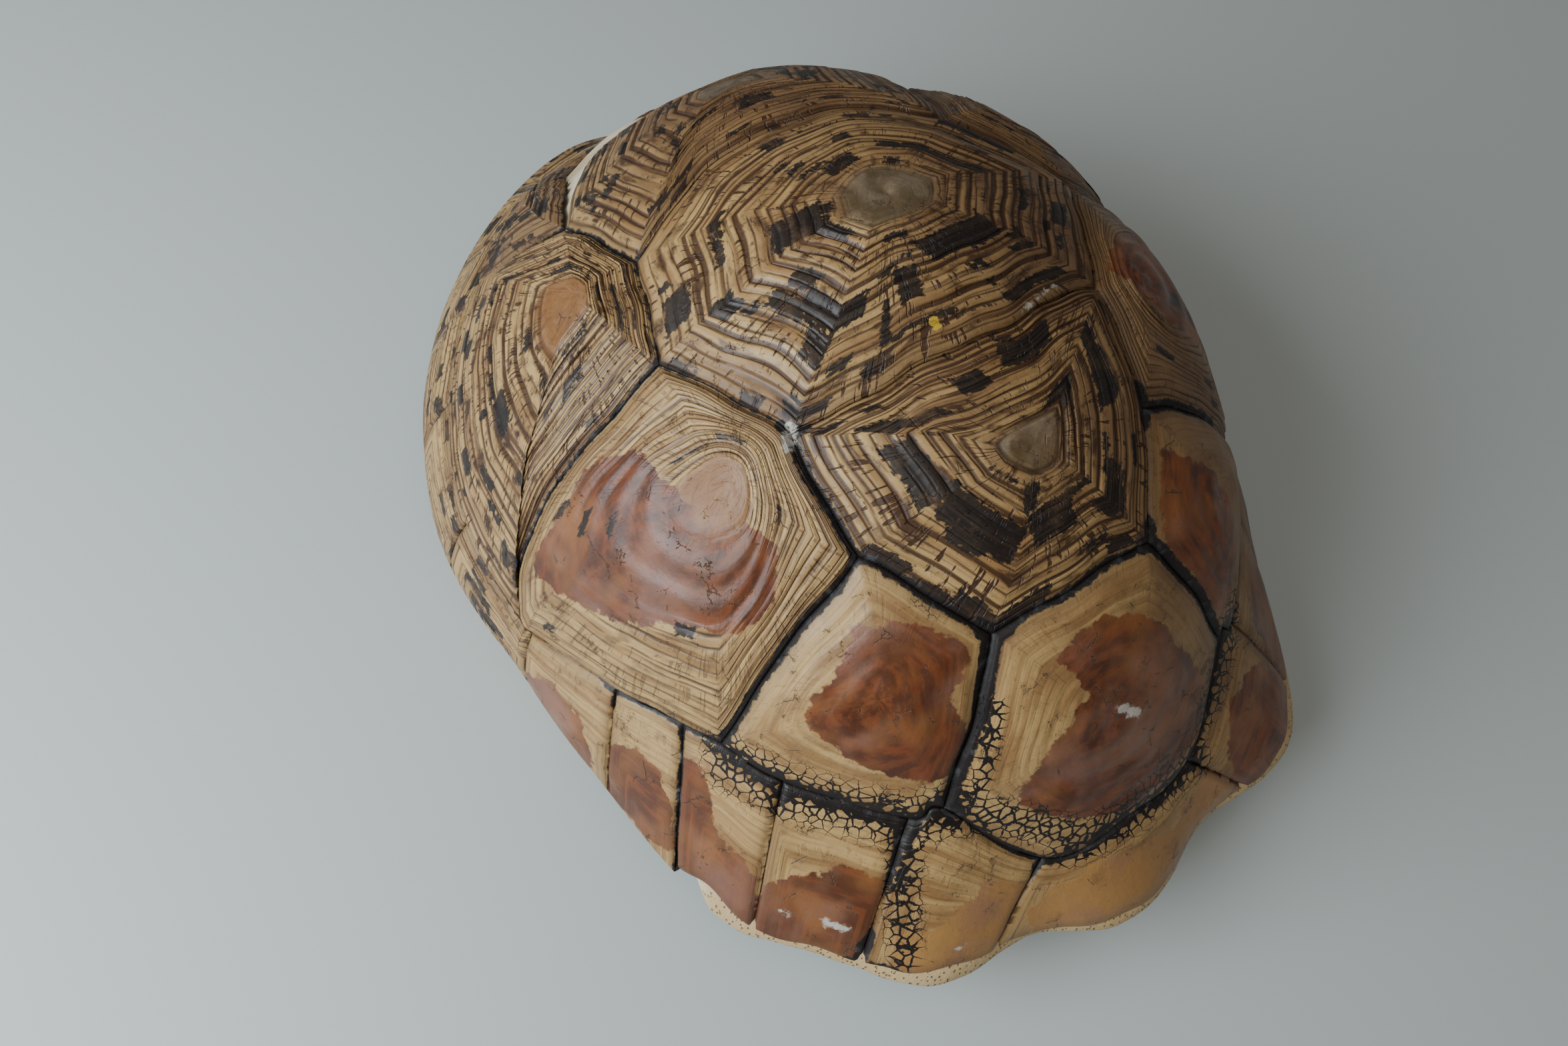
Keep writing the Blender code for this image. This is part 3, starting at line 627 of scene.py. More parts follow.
# Seams that are dark over a wide band: a line on the chart and its half width in millimetres.
WIDE_SEAMS = (
    (((0.136, 0.514), (0.18, 0.62), (0.27, 0.72)), 3.6),
    (((-0.136, 0.514), (-0.20, 0.62), (-0.27, 0.72)), 3.0),
    (((0.268, 0.361), (0.136, 0.514), (0.0, 0.506), (-0.136, 0.514)), 1.9),
    (((0.268, 0.361), (0.43, 0.425), (0.59, 0.49)), 1.9),
    (((-0.231, 0.364), (-0.43, 0.425)), 2.4),
    (((0.59, 0.49), (0.522, 0.592), (0.351, 0.719)), 2.4),
    (((0.293, 0.197), (0.268, 0.361)), 1.9),
    (((0.41, -0.036), (0.654, -0.025), (0.80, 0.0)), 1.3),
    (((0.327, -0.228), (0.347, -0.423), (0.225, -0.565)), 1.1),
    (((0.327, -0.228), (0.41, -0.036), (0.293, 0.197)), 0.8),
    (((0.351, 0.719), (0.42, 0.86), (0.50, 0.86)), 2.6),
    (((0.26, 0.72), (0.16, 0.87), (0.0, 0.873), (-0.16, 0.87), (-0.29, 0.73)), 2.3),
    (((-0.60, 0.50), (-0.522, 0.592), (-0.293, 0.726)), 1.4),
    (((0.65, 0.44), (0.78, 0.62)), 1.2),
    (((0.75, 0.32), (0.65, 0.44), (0.59, 0.49)), 1.5),
)
PLAIN_SEAM = 0.25
# Where the horn near a seam is crazed: a line on the chart and its half width there.
CRAZED_LINES = (
    (((0.60, 0.52), (0.48, 0.63), (0.36, 0.71), (0.26, 0.73)), 0.058),
    (((0.26, 0.73), (0.10, 0.85)), 0.045),
    (((0.17, 0.60), (0.24, 0.73)), 0.022),
    (((0.12, 0.86), (-0.18, 0.87)), 0.045),
    (((-0.22, 0.80), (-0.35, 0.69)), 0.05),
    (((0.351, 0.719), (0.42, 0.86)), 0.04),
)
# Small worn-white marks as lines on the chart with a half width in millimetres.
WHITE_MARKS = (
    ((0.0, 0.675), (-0.03, 0.70), 1.8),
    ((0.285, 0.185), (0.30, 0.205), 1.5),
    ((-0.11, 0.20), (-0.20, 0.185), 0.7),
    ((0.345, 0.90), (0.33, 0.905), 0.9),
    ((0.535, 0.79), (0.505, 0.812), 1.5),
    ((0.60, 0.745), (0.59, 0.755), 0.9),
)
PAINT_SPOT = ((0.035, 0.165), (0.03, 0.172), 1.5)
# Two scutes are broken back here, which bares the bone: a chart place and how wide, how far each is
# drawn in, and where the bone swells to show.
BROKEN_CORNER = (0.12, -0.60)
BROKEN_WIDTH = 0.19
BROKEN_PULL = {"vertebral_1": 0.92, "costal_1_left": 0.45}
BROKEN_MIDDLE = (0.11, -0.67)
BROKEN_RISE = 0.003
BROKEN_RISE_WIDTH = 0.10
# What a field says far outside, and what sets the patterns of one scute apart from the next.
OUTSIDE_MM = -9.0
SEED_STEP = 60
# A marginal's rings are nested about this share of the way along the rim.
RIM_CENTRE = 0.62
RIM_AREOLA = 2.0
RIM_BLOTCHES = 9


def to_segments(chart, line):
    """The shortest distance on the chart from each point to a line of points."""
    nearest = np.full(chart.shape[:-1], np.inf)
    for start, end in zip(np.array(line)[:-1], np.array(line)[1:]):
        along = end - start
        share = np.clip(((chart - start) @ along) / (along @ along), 0, 1)
        apart = chart - start - share[..., None] * along
        nearest = np.minimum(nearest, np.hypot(apart[..., 0], apart[..., 1]))
    return nearest


def seam_half_width(chart):
    """How wide the dark of a seam is at these points, in millimetres."""
    width = np.full(chart.shape[:-1], PLAIN_SEAM)
    for line, half_width in WIDE_SEAMS:
        near = 1 - smoothstep(to_segments(chart, line), 0.02, 0.045)
        width = np.maximum(width, half_width * near)
    return width


def crazing(chart):
    amount = np.zeros(chart.shape[:-1])
    for line, half_width in CRAZED_LINES:
        amount = np.maximum(amount, 1 - to_segments(chart, line) / half_width)
    return np.clip(amount, 0, 1)


def patch_field(chart, outline):
    """How far inside the outline each point is, in millimetres."""
    if not outline:
        return np.full(chart.shape[:-1], -20.0)
    line = smooth_line([*outline, outline[0]], 0.04)
    inside = np.zeros(chart.shape[:-1], bool)
    for start, end in zip(line[:-1], line[1:]):
        spans = (start[1] > chart[..., 1]) != (end[1] > chart[..., 1])
        rise = end[1] - start[1] or 1e-9
        crossing = start[0] + (chart[..., 1] - start[1]) * (end[0] - start[0]) / rise
        inside ^= spans & (chart[..., 0] < crossing)
    return to_segments(chart, line) * np.where(inside, CHART_MM, -CHART_MM)


def mark_field(places, start, end, half_width):
    """How far inside a small mark each place is, in millimetres. The mark is a line on the chart."""
    ends = outer_skin(np.array([start, end]))
    along = ends[1] - ends[0]
    share = np.clip(((places - ends[0]) @ along) / (along @ along), 0, 1)
    apart = places - ends[0] - share[..., None] * along
    return half_width - np.linalg.norm(apart, axis=-1) / MM


# Rings of growth. Sizes are in millimetres.

RING_DEPTHS = (0.2, 0.8)
RING_HALF_WIDTHS = (0.4, 0.7)
RING_STEPS = (1.6, 4.6)
RING_DRIFT = 0.22
TERRACE_SHARE = 0.35
TERRACE_WIDTH = 0.35
UNRINGED_EDGE = 1.5
PLAIN_AREOLA = 0.16
AREOLA_HOLLOW = 0.5
# How deep the horn rounds down at its edge and how wide, in a narrow step and a broad one.
EDGE_BEVEL = (0.9, 0.8)
DOME_BEVEL = (0.35, 2.2)
RIM_BEVEL = (0.25, 2.0)
# A scute's underside repeats its rings at these shares of the way out, from the edge to the middle.
UNDER_SHARES = (0.88, 0.75, 0.62, 0.5, 0.38, 0.26, 0.14, 0.05)


def wander(angles, random, harmonics=4):
    """A smooth random value between about -1 and 1 at each angle round a scute."""
    total = np.zeros_like(angles)
    for harmonic in range(1, harmonics + 1):
        total += random.normal() / harmonic * np.cos(harmonic * angles + random.uniform(0, 2 * math.pi))
    return total


def growth_rings(distance, angles, areola, reach, random):
    """The height of the growth rings in millimetres, and how deep in a groove each point is."""
    height, groove = np.zeros_like(distance), np.zeros_like(distance)
    place = areola
    while place < reach:
        depth = random.uniform(*RING_DEPTHS)
        half_width = random.uniform(*RING_HALF_WIDTHS)
        shift = RING_DRIFT * wander(angles, random)
        fade = np.clip(0.75 + 0.45 * wander(angles, random), 0, 1.2)
        offset = distance - place - shift
        dip = bump(offset, half_width) * fade
        step = 1 / (1 + np.exp(-offset / TERRACE_WIDTH)) * fade
        height -= depth * dip + depth * TERRACE_SHARE * step
        groove = np.maximum(groove, dip * (0.4 + depth))
        place += random.uniform(*RING_STEPS)
    return height - height[-1:] * distance / reach, groove


def broad_waves(distance, angles, patch, wave_height, random):
    """Ripples across a worn patch, and faint ones everywhere, in millimetres."""
    ripples = wave_height * np.sin(distance * 0.75 + wander(angles, random)) * smoothstep(patch, -3, 5)
    return ripples + 0.25 * wander(angles, random) * np.sin(distance * 0.35)


def bevel(edge, broad_step):
    """How far down the horn is near its edge, in millimetres."""
    return sum(depth * bump(edge, width) for depth, width in (EDGE_BEVEL, broad_step))


def blotch_field(distance, lengths, starts):
    """How far inside a dark blotch each point is, in millimetres. A blotch follows its ring.

    lengths gives places along the ring, and starts lists the ring, the place along it and both sizes."""
    field = np.full(distance.shape, OUTSIDE_MM)
    around = lengths[:, -1:]
    for ring_distance, share, along, across in starts:
        away = np.abs(lengths - share * around)
        away = np.minimum(away, around - away)
        box = np.minimum(along / 2 - away, across / 2 - np.abs(distance - ring_distance))
        field = np.maximum(field, box)
    return field


def blotch_start(chart, distance, lengths, spot):
    """The ring and the place along it nearest to a blotch's chart place, and its sizes."""
    u, v, along, across = spot
    nearest = np.argmin(np.hypot(chart[..., 0] - u, chart[..., 1] - v))
    row, column = np.unravel_index(nearest, distance.shape)
    return distance[row, column], lengths[row, column] / lengths[row, -1], along, across


def horn_fields(chart, skin, edge, patch, ringed, groove):
    """The numbers on a scute's points that its material reads, apart from a few of each kind's own."""
    return {
        "groove": groove * ringed,
        "ringed": ringed,
        "patch": patch,
        "seam": seam_half_width(chart) - edge,
        "edge": edge,
        "crazed": crazing(chart),
        "chalk": np.max([mark_field(skin, *mark) for mark in WHITE_MARKS], axis=0),
        "paint": mark_field(skin, *PAINT_SPOT),
    }


def with_last_row(fields, extra):
    """The fields with their last row repeated for the rows of points below."""
    return {key: np.concatenate([rows, np.repeat(rows[-1:], extra, axis=0)]) for key, rows in fields.items()}


# Scutes of the dome.


def broken_back(name, outline, centre):
    """The outline with its edge drawn in towards the centre where the horn is broken away."""
    if name not in BROKEN_PULL:
        return outline
    near = bump(np.linalg.norm(outline - BROKEN_CORNER, axis=1), BROKEN_WIDTH)
    ragged = 1 + 0.12 * np.sin(np.arange(len(outline)) * 0.9)
    return outline + (centre - outline) * (near * ragged * BROKEN_PULL[name])[:, None]


def smooth_oval(spokes):
    """An outline's spokes made into a plain oval, from its two slowest waves each way round."""
    spectrum = np.fft.fft(spokes[:, 0] + 1j * spokes[:, 1])
    spectrum[3:-2] = 0
    oval = np.fft.ifft(spectrum)
    return np.stack([oval.real, oval.imag], -1)


def dome_rings(outline, centre, is_crisp):
    """Chart points in rings that turn from ovals into the outline, each ring's share of the way out,
    and the whole way in millimetres."""
    spokes = outline - centre
    reach = float(np.linalg.norm(outer_skin(outline) - outer_skin(centre), axis=1).mean()) / MM
    count = math.ceil(reach / RING_SPACING)
    shares = (np.arange(1, count + 1) / count)[:, None, None]
    shares = shares * (1 - SEAM_HALF_GAP / MM / reach)
    crisp = smoothstep(shares, *(CRISP_RINGS if is_crisp else ROUND_RINGS))
    chart = wobbled(centre + shares * (spokes * crisp + smooth_oval(spokes) * (1 - crisp)))
    return chart, shares[..., 0], reach


def edge_distance(skin):
    """How far each point is from the scute's edge, in millimetres."""
    border = skin[-1]
    rows = []
    for row in skin:
        apart = row[:, None] - border[None]
        rows.append(np.sqrt((apart**2).sum(-1).min(axis=1)) / MM)
    return np.array(rows)


def dome_rise(shares):
    """How much of a scute's swell there is at these shares of the way out."""
    rise = 1 - 0.22 * smoothstep(shares, 0.15, 0.5) - 0.43 * smoothstep(shares, 0.4, 0.86)
    return rise - 0.35 * smoothstep(shares, 0.8, 1)


def dome_blotches(name, chart, distance, lengths, reach, count, random):
    """The blotches listed for this scute, and count more at random."""
    starts = [blotch_start(chart, distance, lengths, spot) for spot in BLOTCHES.get(name, ())]
    for _ in range(count):
        ring_distance = reach * random.uniform(0.25, 0.97)
        sizes = random.uniform(3, 12), random.uniform(1.8, 5)
        starts.append((ring_distance, random.uniform(), *sizes))
    return blotch_field(distance, lengths, starts)


def dome_scute(name, outline, centre, seed, material):
    """A scute of the dome with its rings, markings and edge."""
    random = np.random.default_rng(seed)
    blotch_count, ring_strength, darkness, wave_height, redness = LOOKS[name]
    swell = SWELLS.get(name, SWELLS[name.split("_")[0]])
    centre = np.array(centre, float)
    chart, shares, reach = dome_rings(broken_back(name, outline, centre), centre, ring_strength >= 1)
    skin = outer_skin(chart)
    ones = np.ones(skin.shape[:2])

    edge = edge_distance(skin)
    distance = shares * reach * ones
    angles = np.linspace(0, 2 * math.pi, len(outline), endpoint=False)[None]
    steps = np.linalg.norm(np.diff(skin, axis=1, append=skin[:, :1]), axis=-1) / MM
    lengths = np.cumsum(steps, axis=1)
    patch = patch_field(chart, PATCHES.get(name))
    areola = AREOLA_SHARES.get(name, PLAIN_AREOLA) * reach
    height, groove = growth_rings(distance, angles, areola, reach - UNRINGED_EDGE, random)
    ringed = ring_strength * (1 - 0.85 * smoothstep(patch, -2, 4))
    height = height * ringed + broad_waves(distance, angles, patch, wave_height, random)
    height = height - bevel(edge, DOME_BEVEL) - AREOLA_HOLLOW * bump(distance, areola)
    top = height * MM + swell * dome_rise(shares)

    fields = {
        **horn_fields(chart, skin, edge, patch, ringed, groove),
        "growth": np.stack([
            distance + SEED_STEP * seed,
            reach * np.cos(angles) * ones,
            reach * np.sin(angles) * ones,
        ], -1),
        "blotch": dome_blotches(name, chart, distance, lengths, reach, blotch_count, random),
        "areola": smoothstep(distance, areola * 1.25, areola * 0.8) * (ring_strength > 0.5),
        "redness": redness * ones,
        # Each scute's own darkness, plus painted shade that grows towards the animal's right side (low u).
        "tone_and_side_shade": np.clip(darkness + 0.45 - 1.3 * chart[..., 0], 0, 1),
    }
    last = len(chart) - 1
    under_rows = [last, last - 2] + [round(share * last) for share in UNDER_SHARES]
    outside = skin + outward(chart) * top[..., None]
    inside = raised(chart[under_rows], -SCUTE_THICKNESS)
    rings = np.concatenate([outside, inside])
    return domed_piece(name, rings, with_last_row(fields, len(inside)), material)


# Marginal scutes.


def marginal_columns(seam_line, rim_start, rim_end):
    """Chart lines from the seam above down to the rim, one for each point of the seam."""
    steps = np.linalg.norm(np.diff(seam_line, axis=0), axis=1)
    share = np.concatenate([[0], np.cumsum(steps)]) / steps.sum()
    rim = np.radians(rim_start + (rim_end - rim_start) * share)
    lower = np.stack([np.cos(rim), np.sin(rim)], 1)
    upper = seam_line.copy()
    gap = SEAM_HALF_GAP / MM / CHART_MM
    for row in (upper, lower):
        first, last = unit(row[1] - row[0]), unit(row[-2] - row[-1])
        row[0] += first * gap
        row[-1] += last * gap
    return upper, lower, share


def at_radius(upper, lower, radius):
    start = np.hypot(*upper.T)
    share = (radius - start) / (np.hypot(*lower.T) - start)
    return upper + (lower - upper) * share[:, None]


def part_down(upper, lower, end_radius, share):
    """The row of chart points that share of the way from the seam down to the end radius."""
    start = np.hypot(*upper.T)
    return at_radius(upper, lower, start + (end_radius - start) * share)


def free_edge(chart_angles):
    """The worn, wavy end of the horn on the chart, which leaves the bone's edge bare."""
    ripple = 0.002 * np.sin(23 * chart_angles + 1) + 0.0015 * np.sin(57 * chart_angles)
    return FREE_EDGE + ripple + waves_round(chart_angles, BARE_WAVES)


def wrapped_rows(upper, lower):
    """Rows that carry a scute's outside round the rim and in below the bone."""
    rim = wobbled(at_radius(upper, lower, 1.0))
    tangent = rim_tangent(rim)
    thickness = float(bone_depth(1.0) + clearance(1.0)) + SCUTE_THICKNESS
    rows = []
    for turn in np.linspace(0, math.pi, 9)[1:]:
        depth = thickness / 2 * (1 - math.cos(turn))
        rows.append(raised(rim, -depth) + tangent * LIP_BULGE * math.sin(turn))
    for radius in (0.985, 0.97, LIP_START):
        depth = bone_depth(radius) + clearance(radius) + SCUTE_THICKNESS
        rows.append(raised(at_radius(upper, lower, radius), -float(depth)))
    return rows


def inner_rows(upper, lower, end_radius, is_wrapped):
    """Rows of a scute's inside from the seam down, and on round the bone's edge if it is wrapped."""
    shares = np.linspace(0, 1, 12)
    rows = [raised(part_down(upper, lower, end_radius, share), -SCUTE_THICKNESS) for share in shares]
    if is_wrapped:
        for radius in (INNER_END, 0.98, LIP_START):
            depth = float(bone_depth(radius) + clearance(radius))
            rows.append(raised(at_radius(upper, lower, radius), -depth))
    return rows


def rim_blotches(nested, lengths, height_mm, count, random):
    """Blotches of a marginal scute, all at random."""
    starts = []
    for _ in range(count):
        sizes = random.uniform(4, 12), random.uniform(3, 7)
        starts.append((height_mm * random.uniform(), random.uniform(), *sizes))
    return blotch_field(nested, lengths, starts)


def marginal_scute(name, seam_line, rims, has_free_edge, seed, material):
    """A scute of the rim. It wraps under the edge, unless its lower edge is worn back to show bone.

    Its rings are nested about a place on the rim."""
    random = np.random.default_rng(seed)
    upper, lower, share = marginal_columns(seam_line, *rims)
    edge_radius = free_edge(np.arctan2(lower[:, 1], lower[:, 0])) if has_free_edge else np.ones(len(lower))
    top_line, bottom_line = outer_skin(upper), outer_skin(lower * 0.999)
    height_mm = float(np.linalg.norm(top_line - bottom_line, axis=1).mean()) / MM
    width_mm = float(np.linalg.norm(np.diff(bottom_line, axis=0), axis=1).sum()) / MM
    count = math.ceil(height_mm / RIM_ROW_SPACING)
    down = np.linspace(0, 1, count)[:, None]
    chart = wobbled(np.array([part_down(upper, lower, edge_radius, row) for row in down]))
    skin = outer_skin(chart)
    ones = np.ones(skin.shape[:2])

    below, from_rim = down * height_mm, (1 - down) * height_mm
    edge = np.minimum(below, np.minimum(share, 1 - share)[None] * width_mm)
    if has_free_edge:
        edge = np.minimum(edge, from_rim * 0.96)
    nested = np.maximum(from_rim, (np.abs(share - RIM_CENTRE)[None] * 1.25) * height_mm)
    height, groove = growth_rings(nested, share[None] * 2 + down, RIM_AREOLA, height_mm - 1, random)
    is_worn = name in PATCHES
    patch = patch_field(chart, PATCHES.get(name))
    ringed = (0.35 if is_worn else 0.9) * (1 - 0.7 * smoothstep(patch, -2, 4))
    rise = smoothstep(down, 0, 0.3) * (1 - smoothstep(down, 0.75, 1.02))
    top = (height * ringed * 0.7 - bevel(edge, RIM_BEVEL)) * MM + MARGINAL_SWELL * rise
    lengths = share * width_mm * ones
    fields = {
        **horn_fields(chart, skin, edge, patch, ringed, groove),
        "growth": np.stack([nested + SEED_STEP * seed, lengths, below * 0.3 * ones], -1),
        "blotch": rim_blotches(nested, lengths, height_mm, 0 if is_worn else RIM_BLOTCHES, random),
        "areola": 0 * ones,
        "redness": ones * (name not in TAN_WORN),
        # Painted shade on the rim: darker and more amber towards the animal's right side (low u).
        "tone_and_side_shade": np.clip(0.50 - 1.0 * chart[..., 0], 0, 1),
    }

    outside = list(skin + outward(chart) * top[..., None])
    if has_free_edge:
        inside = inner_rows(upper, lower, edge_radius, False)
    else:
        outside += wrapped_rows(upper, lower)
        inside = inner_rows(upper, lower, INNER_END, True)
    rows = np.array(outside + inside[::-1])
    return sleeve_piece(name, rows, with_last_row(fields, len(rows) - count), material)


# Bone.


def bareness(degrees):
    """1 at the back, where the bone's edge shows, and 0 where scutes wrap it."""
    behind = np.abs((degrees - 90 + 180) % 360 - 180)
    return 1 - smoothstep(behind, 46, 50)


def carapace_bone(material):
    """The bony dome, open below. Its bare rear edge is rounded and wavy."""
    degrees = np.arange(-90, 270, 0.8)
    bare = bareness(degrees)
    edge = BONE_EDGE + (1 - BONE_EDGE) * bare
    around = np.stack([np.cos(np.radians(degrees)), np.sin(np.radians(degrees))], -1)
    outer, inner = [], []
    for share in np.concatenate([np.linspace(0.02, 0.9, 34), np.linspace(0.91, 1, 14)]):
        radius = share * edge
        ring = around * radius[:, None]
        flush = smoothstep(radius, 0.965, 0.99) * bare
        depth = bone_top(radius) * (1 - flush) + BARE_EDGE_DEPTH * flush
        broken = bump(np.linalg.norm(ring - BROKEN_MIDDLE, axis=1), BROKEN_RISE_WIDTH)
        outer.append(raised(ring, BROKEN_RISE * broken - depth))
        inner.append(raised(ring, -bone_depth(radius)))
    rim = around * edge[:, None]
    tangent = rim_tangent(rim)
    start_depth = bone_top(edge) * (1 - bare) + BARE_EDGE_DEPTH * bare
    end_depth = bone_depth(edge)
    ragged = 1 + 0.5 * np.sin(np.radians(degrees) * 31) + 0.4 * np.sin(np.radians(degrees) * 77)
    lip = []
    for turn in np.linspace(0, math.pi, 8)[1:-1]:
        depth = start_depth + (end_depth - start_depth) / 2 * (1 - math.cos(turn))
        bulge = BONE_BULGE * bare * ragged * math.sin(turn)
        lip.append(raised(rim, -depth) + tangent * bulge[:, None])
    rings = np.array(outer + lip + inner[::-1])
    ones = np.ones(rings.shape[:2])
    is_inside = np.arange(len(rings)) >= len(outer) + len(lip)
    fields = {"inside": ones * is_inside[:, None], "bare": ones * bare[None]}
    return domed_piece("carapace_bone", rings, fields, material)


# The plastron.


def rim_reach(y, side):
    """How far out the rim is on that side, at places along Y."""
    angles = np.radians(np.linspace(-70, 70, 141))
    rim = outer_skin(np.stack([side * np.cos(angles), np.sin(angles)], -1) * 0.9999)
    return np.interp(y, rim[:, 1], side * rim[:, 0])


def bridge_share(along):
    bridge = smoothstep(along, *BRIDGE_START) * (1 - smoothstep(along, *BRIDGE_END))
    return LOBE_UPTURN + (1 - LOBE_UPTURN) * bridge


def plastron_skin(grid):
    """Places on the plastron's smooth outside for (across, along), an array ending in two."""
    across, along = grid[..., 0], grid[..., 1]
    out = np.abs(across)
    front = PLASTRON_FRONT[0] + (PLASTRON_FRONT[1] - PLASTRON_FRONT[0]) * smoothstep(out, 0, 1)
    rear = PLASTRON_REAR[0] + (PLASTRON_REAR[1] - PLASTRON_REAR[0]) * smoothstep(out, 0, 0.5)
    y = front + (rear - front) * along
    places, widths = zip(*FLAT_HALF_WIDTHS)
    flat = np.interp(along, places, widths)
    bridge = bridge_share(along)
    turn = np.clip((out - FLAT_SHARE) / (1 - FLAT_SHARE), 0, 1) * math.pi / 2
    side = flat * np.minimum(out / FLAT_SHARE, 1)
    reach = np.where(across > 0, rim_reach(y, 1), rim_reach(y, -1))
    side = side + bridge * (reach - 0.001 - flat) * np.sin(turn)
    z = bridge * (RIM_HEIGHT - BRIDGE_GAP) * (1 - np.cos(turn))
    return np.stack([side * np.sign(across), y, z], -1)


def plastron_points(grid, depth):
    """Places at a depth inside the plastron's smooth outside, or above it where a lobe is thin."""
    step = 0.004
    sample = grid.copy()
    sample[..., 1] = np.clip(sample[..., 1], step, 1 - step)
    across = plastron_skin(sample + (step, 0)) - plastron_skin(sample - (step, 0))
    along = plastron_skin(sample + (0, step)) - plastron_skin(sample - (0, step))
    inward = unit(np.cross(across, along))
    inward[np.abs(grid[..., 0]) < FLAT_SHARE] = UP
    bridge = bridge_share(grid[..., 1])[..., None]
    inward = unit(inward * bridge + np.array(UP) * (1 - bridge))
    return plastron_skin(grid) + inward * np.broadcast_to(depth, grid.shape[:-1])[..., None]


def plastron_bone(material):
    across, along = np.linspace(-1, 1, 97), np.linspace(0, 1, 121)
    grid = np.stack(np.meshgrid(across, along), -1)
    top = SCUTE_THICKNESS + PLASTRON_CLEARANCE
    outside = plastron_points(grid, top)
    inside = plastron_points(grid, top + PLASTRON_BONE)
    rows = np.concatenate([outside, inside[::-1]])
    ones = np.ones(rows.shape[:2])
    fields = {"inside": ones * (np.arange(len(rows)) >= len(outside))[:, None], "bare": 0 * ones}
    return sleeve_piece("plastron_bone", rows, fields, material)


def plastral_scute(name, front_seam, rear_seam, side, seed, material):
    """One scute of the plastron, with growth lines nested about its rear inner corner."""
    random = np.random.default_rng(seed)
    out = np.linspace(0.004, 1, 90)
    start = front_seam[0] + (front_seam[1] - front_seam[0]) * out
    end = rear_seam[0] + (rear_seam[1] - rear_seam[0]) * out
    length = (rear_seam[0] - front_seam[0]) * (PLASTRON_REAR[1] - PLASTRON_FRONT[0])
    start = start + (PLASTRAL_GAP if front_seam[0] > 0 else 0)
    end = end - (PLASTRAL_GAP if rear_seam[0] < 1 else 0)
    total = length / MM
    count = max(12, math.ceil(total / PLASTRAL_ROW_SPACING))
    down = np.linspace(0, 1, count)[:, None]
    grid = np.stack([np.broadcast_to(side * out, (count, len(out))), start + (end - start) * down], -1)
    skin = plastron_skin(grid)
    steps = np.linalg.norm(np.diff(skin, axis=1, prepend=skin[:, :1]), axis=-1) / MM
    beside = np.cumsum(steps, axis=1)
    below = down * total * np.ones_like(beside)
    edge = np.minimum(np.minimum(below, total - below), beside)
    nested = np.maximum(total - below, beside * 0.75)
    height, groove = growth_rings(nested, nested * 0 + out * 3, 4, float(nested.max()) - 1, random)
    depth = (0.3 * bump(edge, 0.7) - np.minimum(0.12 * height, 0)) * MM
    outside = plastron_points(grid, depth.clip(0.00002))
    inside = plastron_points(grid, SCUTE_THICKNESS)
    rows = np.concatenate([outside, inside[::-1]])
    fields = {
        "growth": np.stack([nested + SEED_STEP * seed, beside, below * 0.3], -1),
        "groove": groove,
        "edge": edge,
        "stain": total * 0.30 - np.abs(nested - total * random.uniform(0.55, 0.8)),
    }
    fields = {key: np.concatenate([body, body[::-1]]) for key, body in fields.items()}
    return sleeve_piece(name, rows, fields, material)


# Materials.


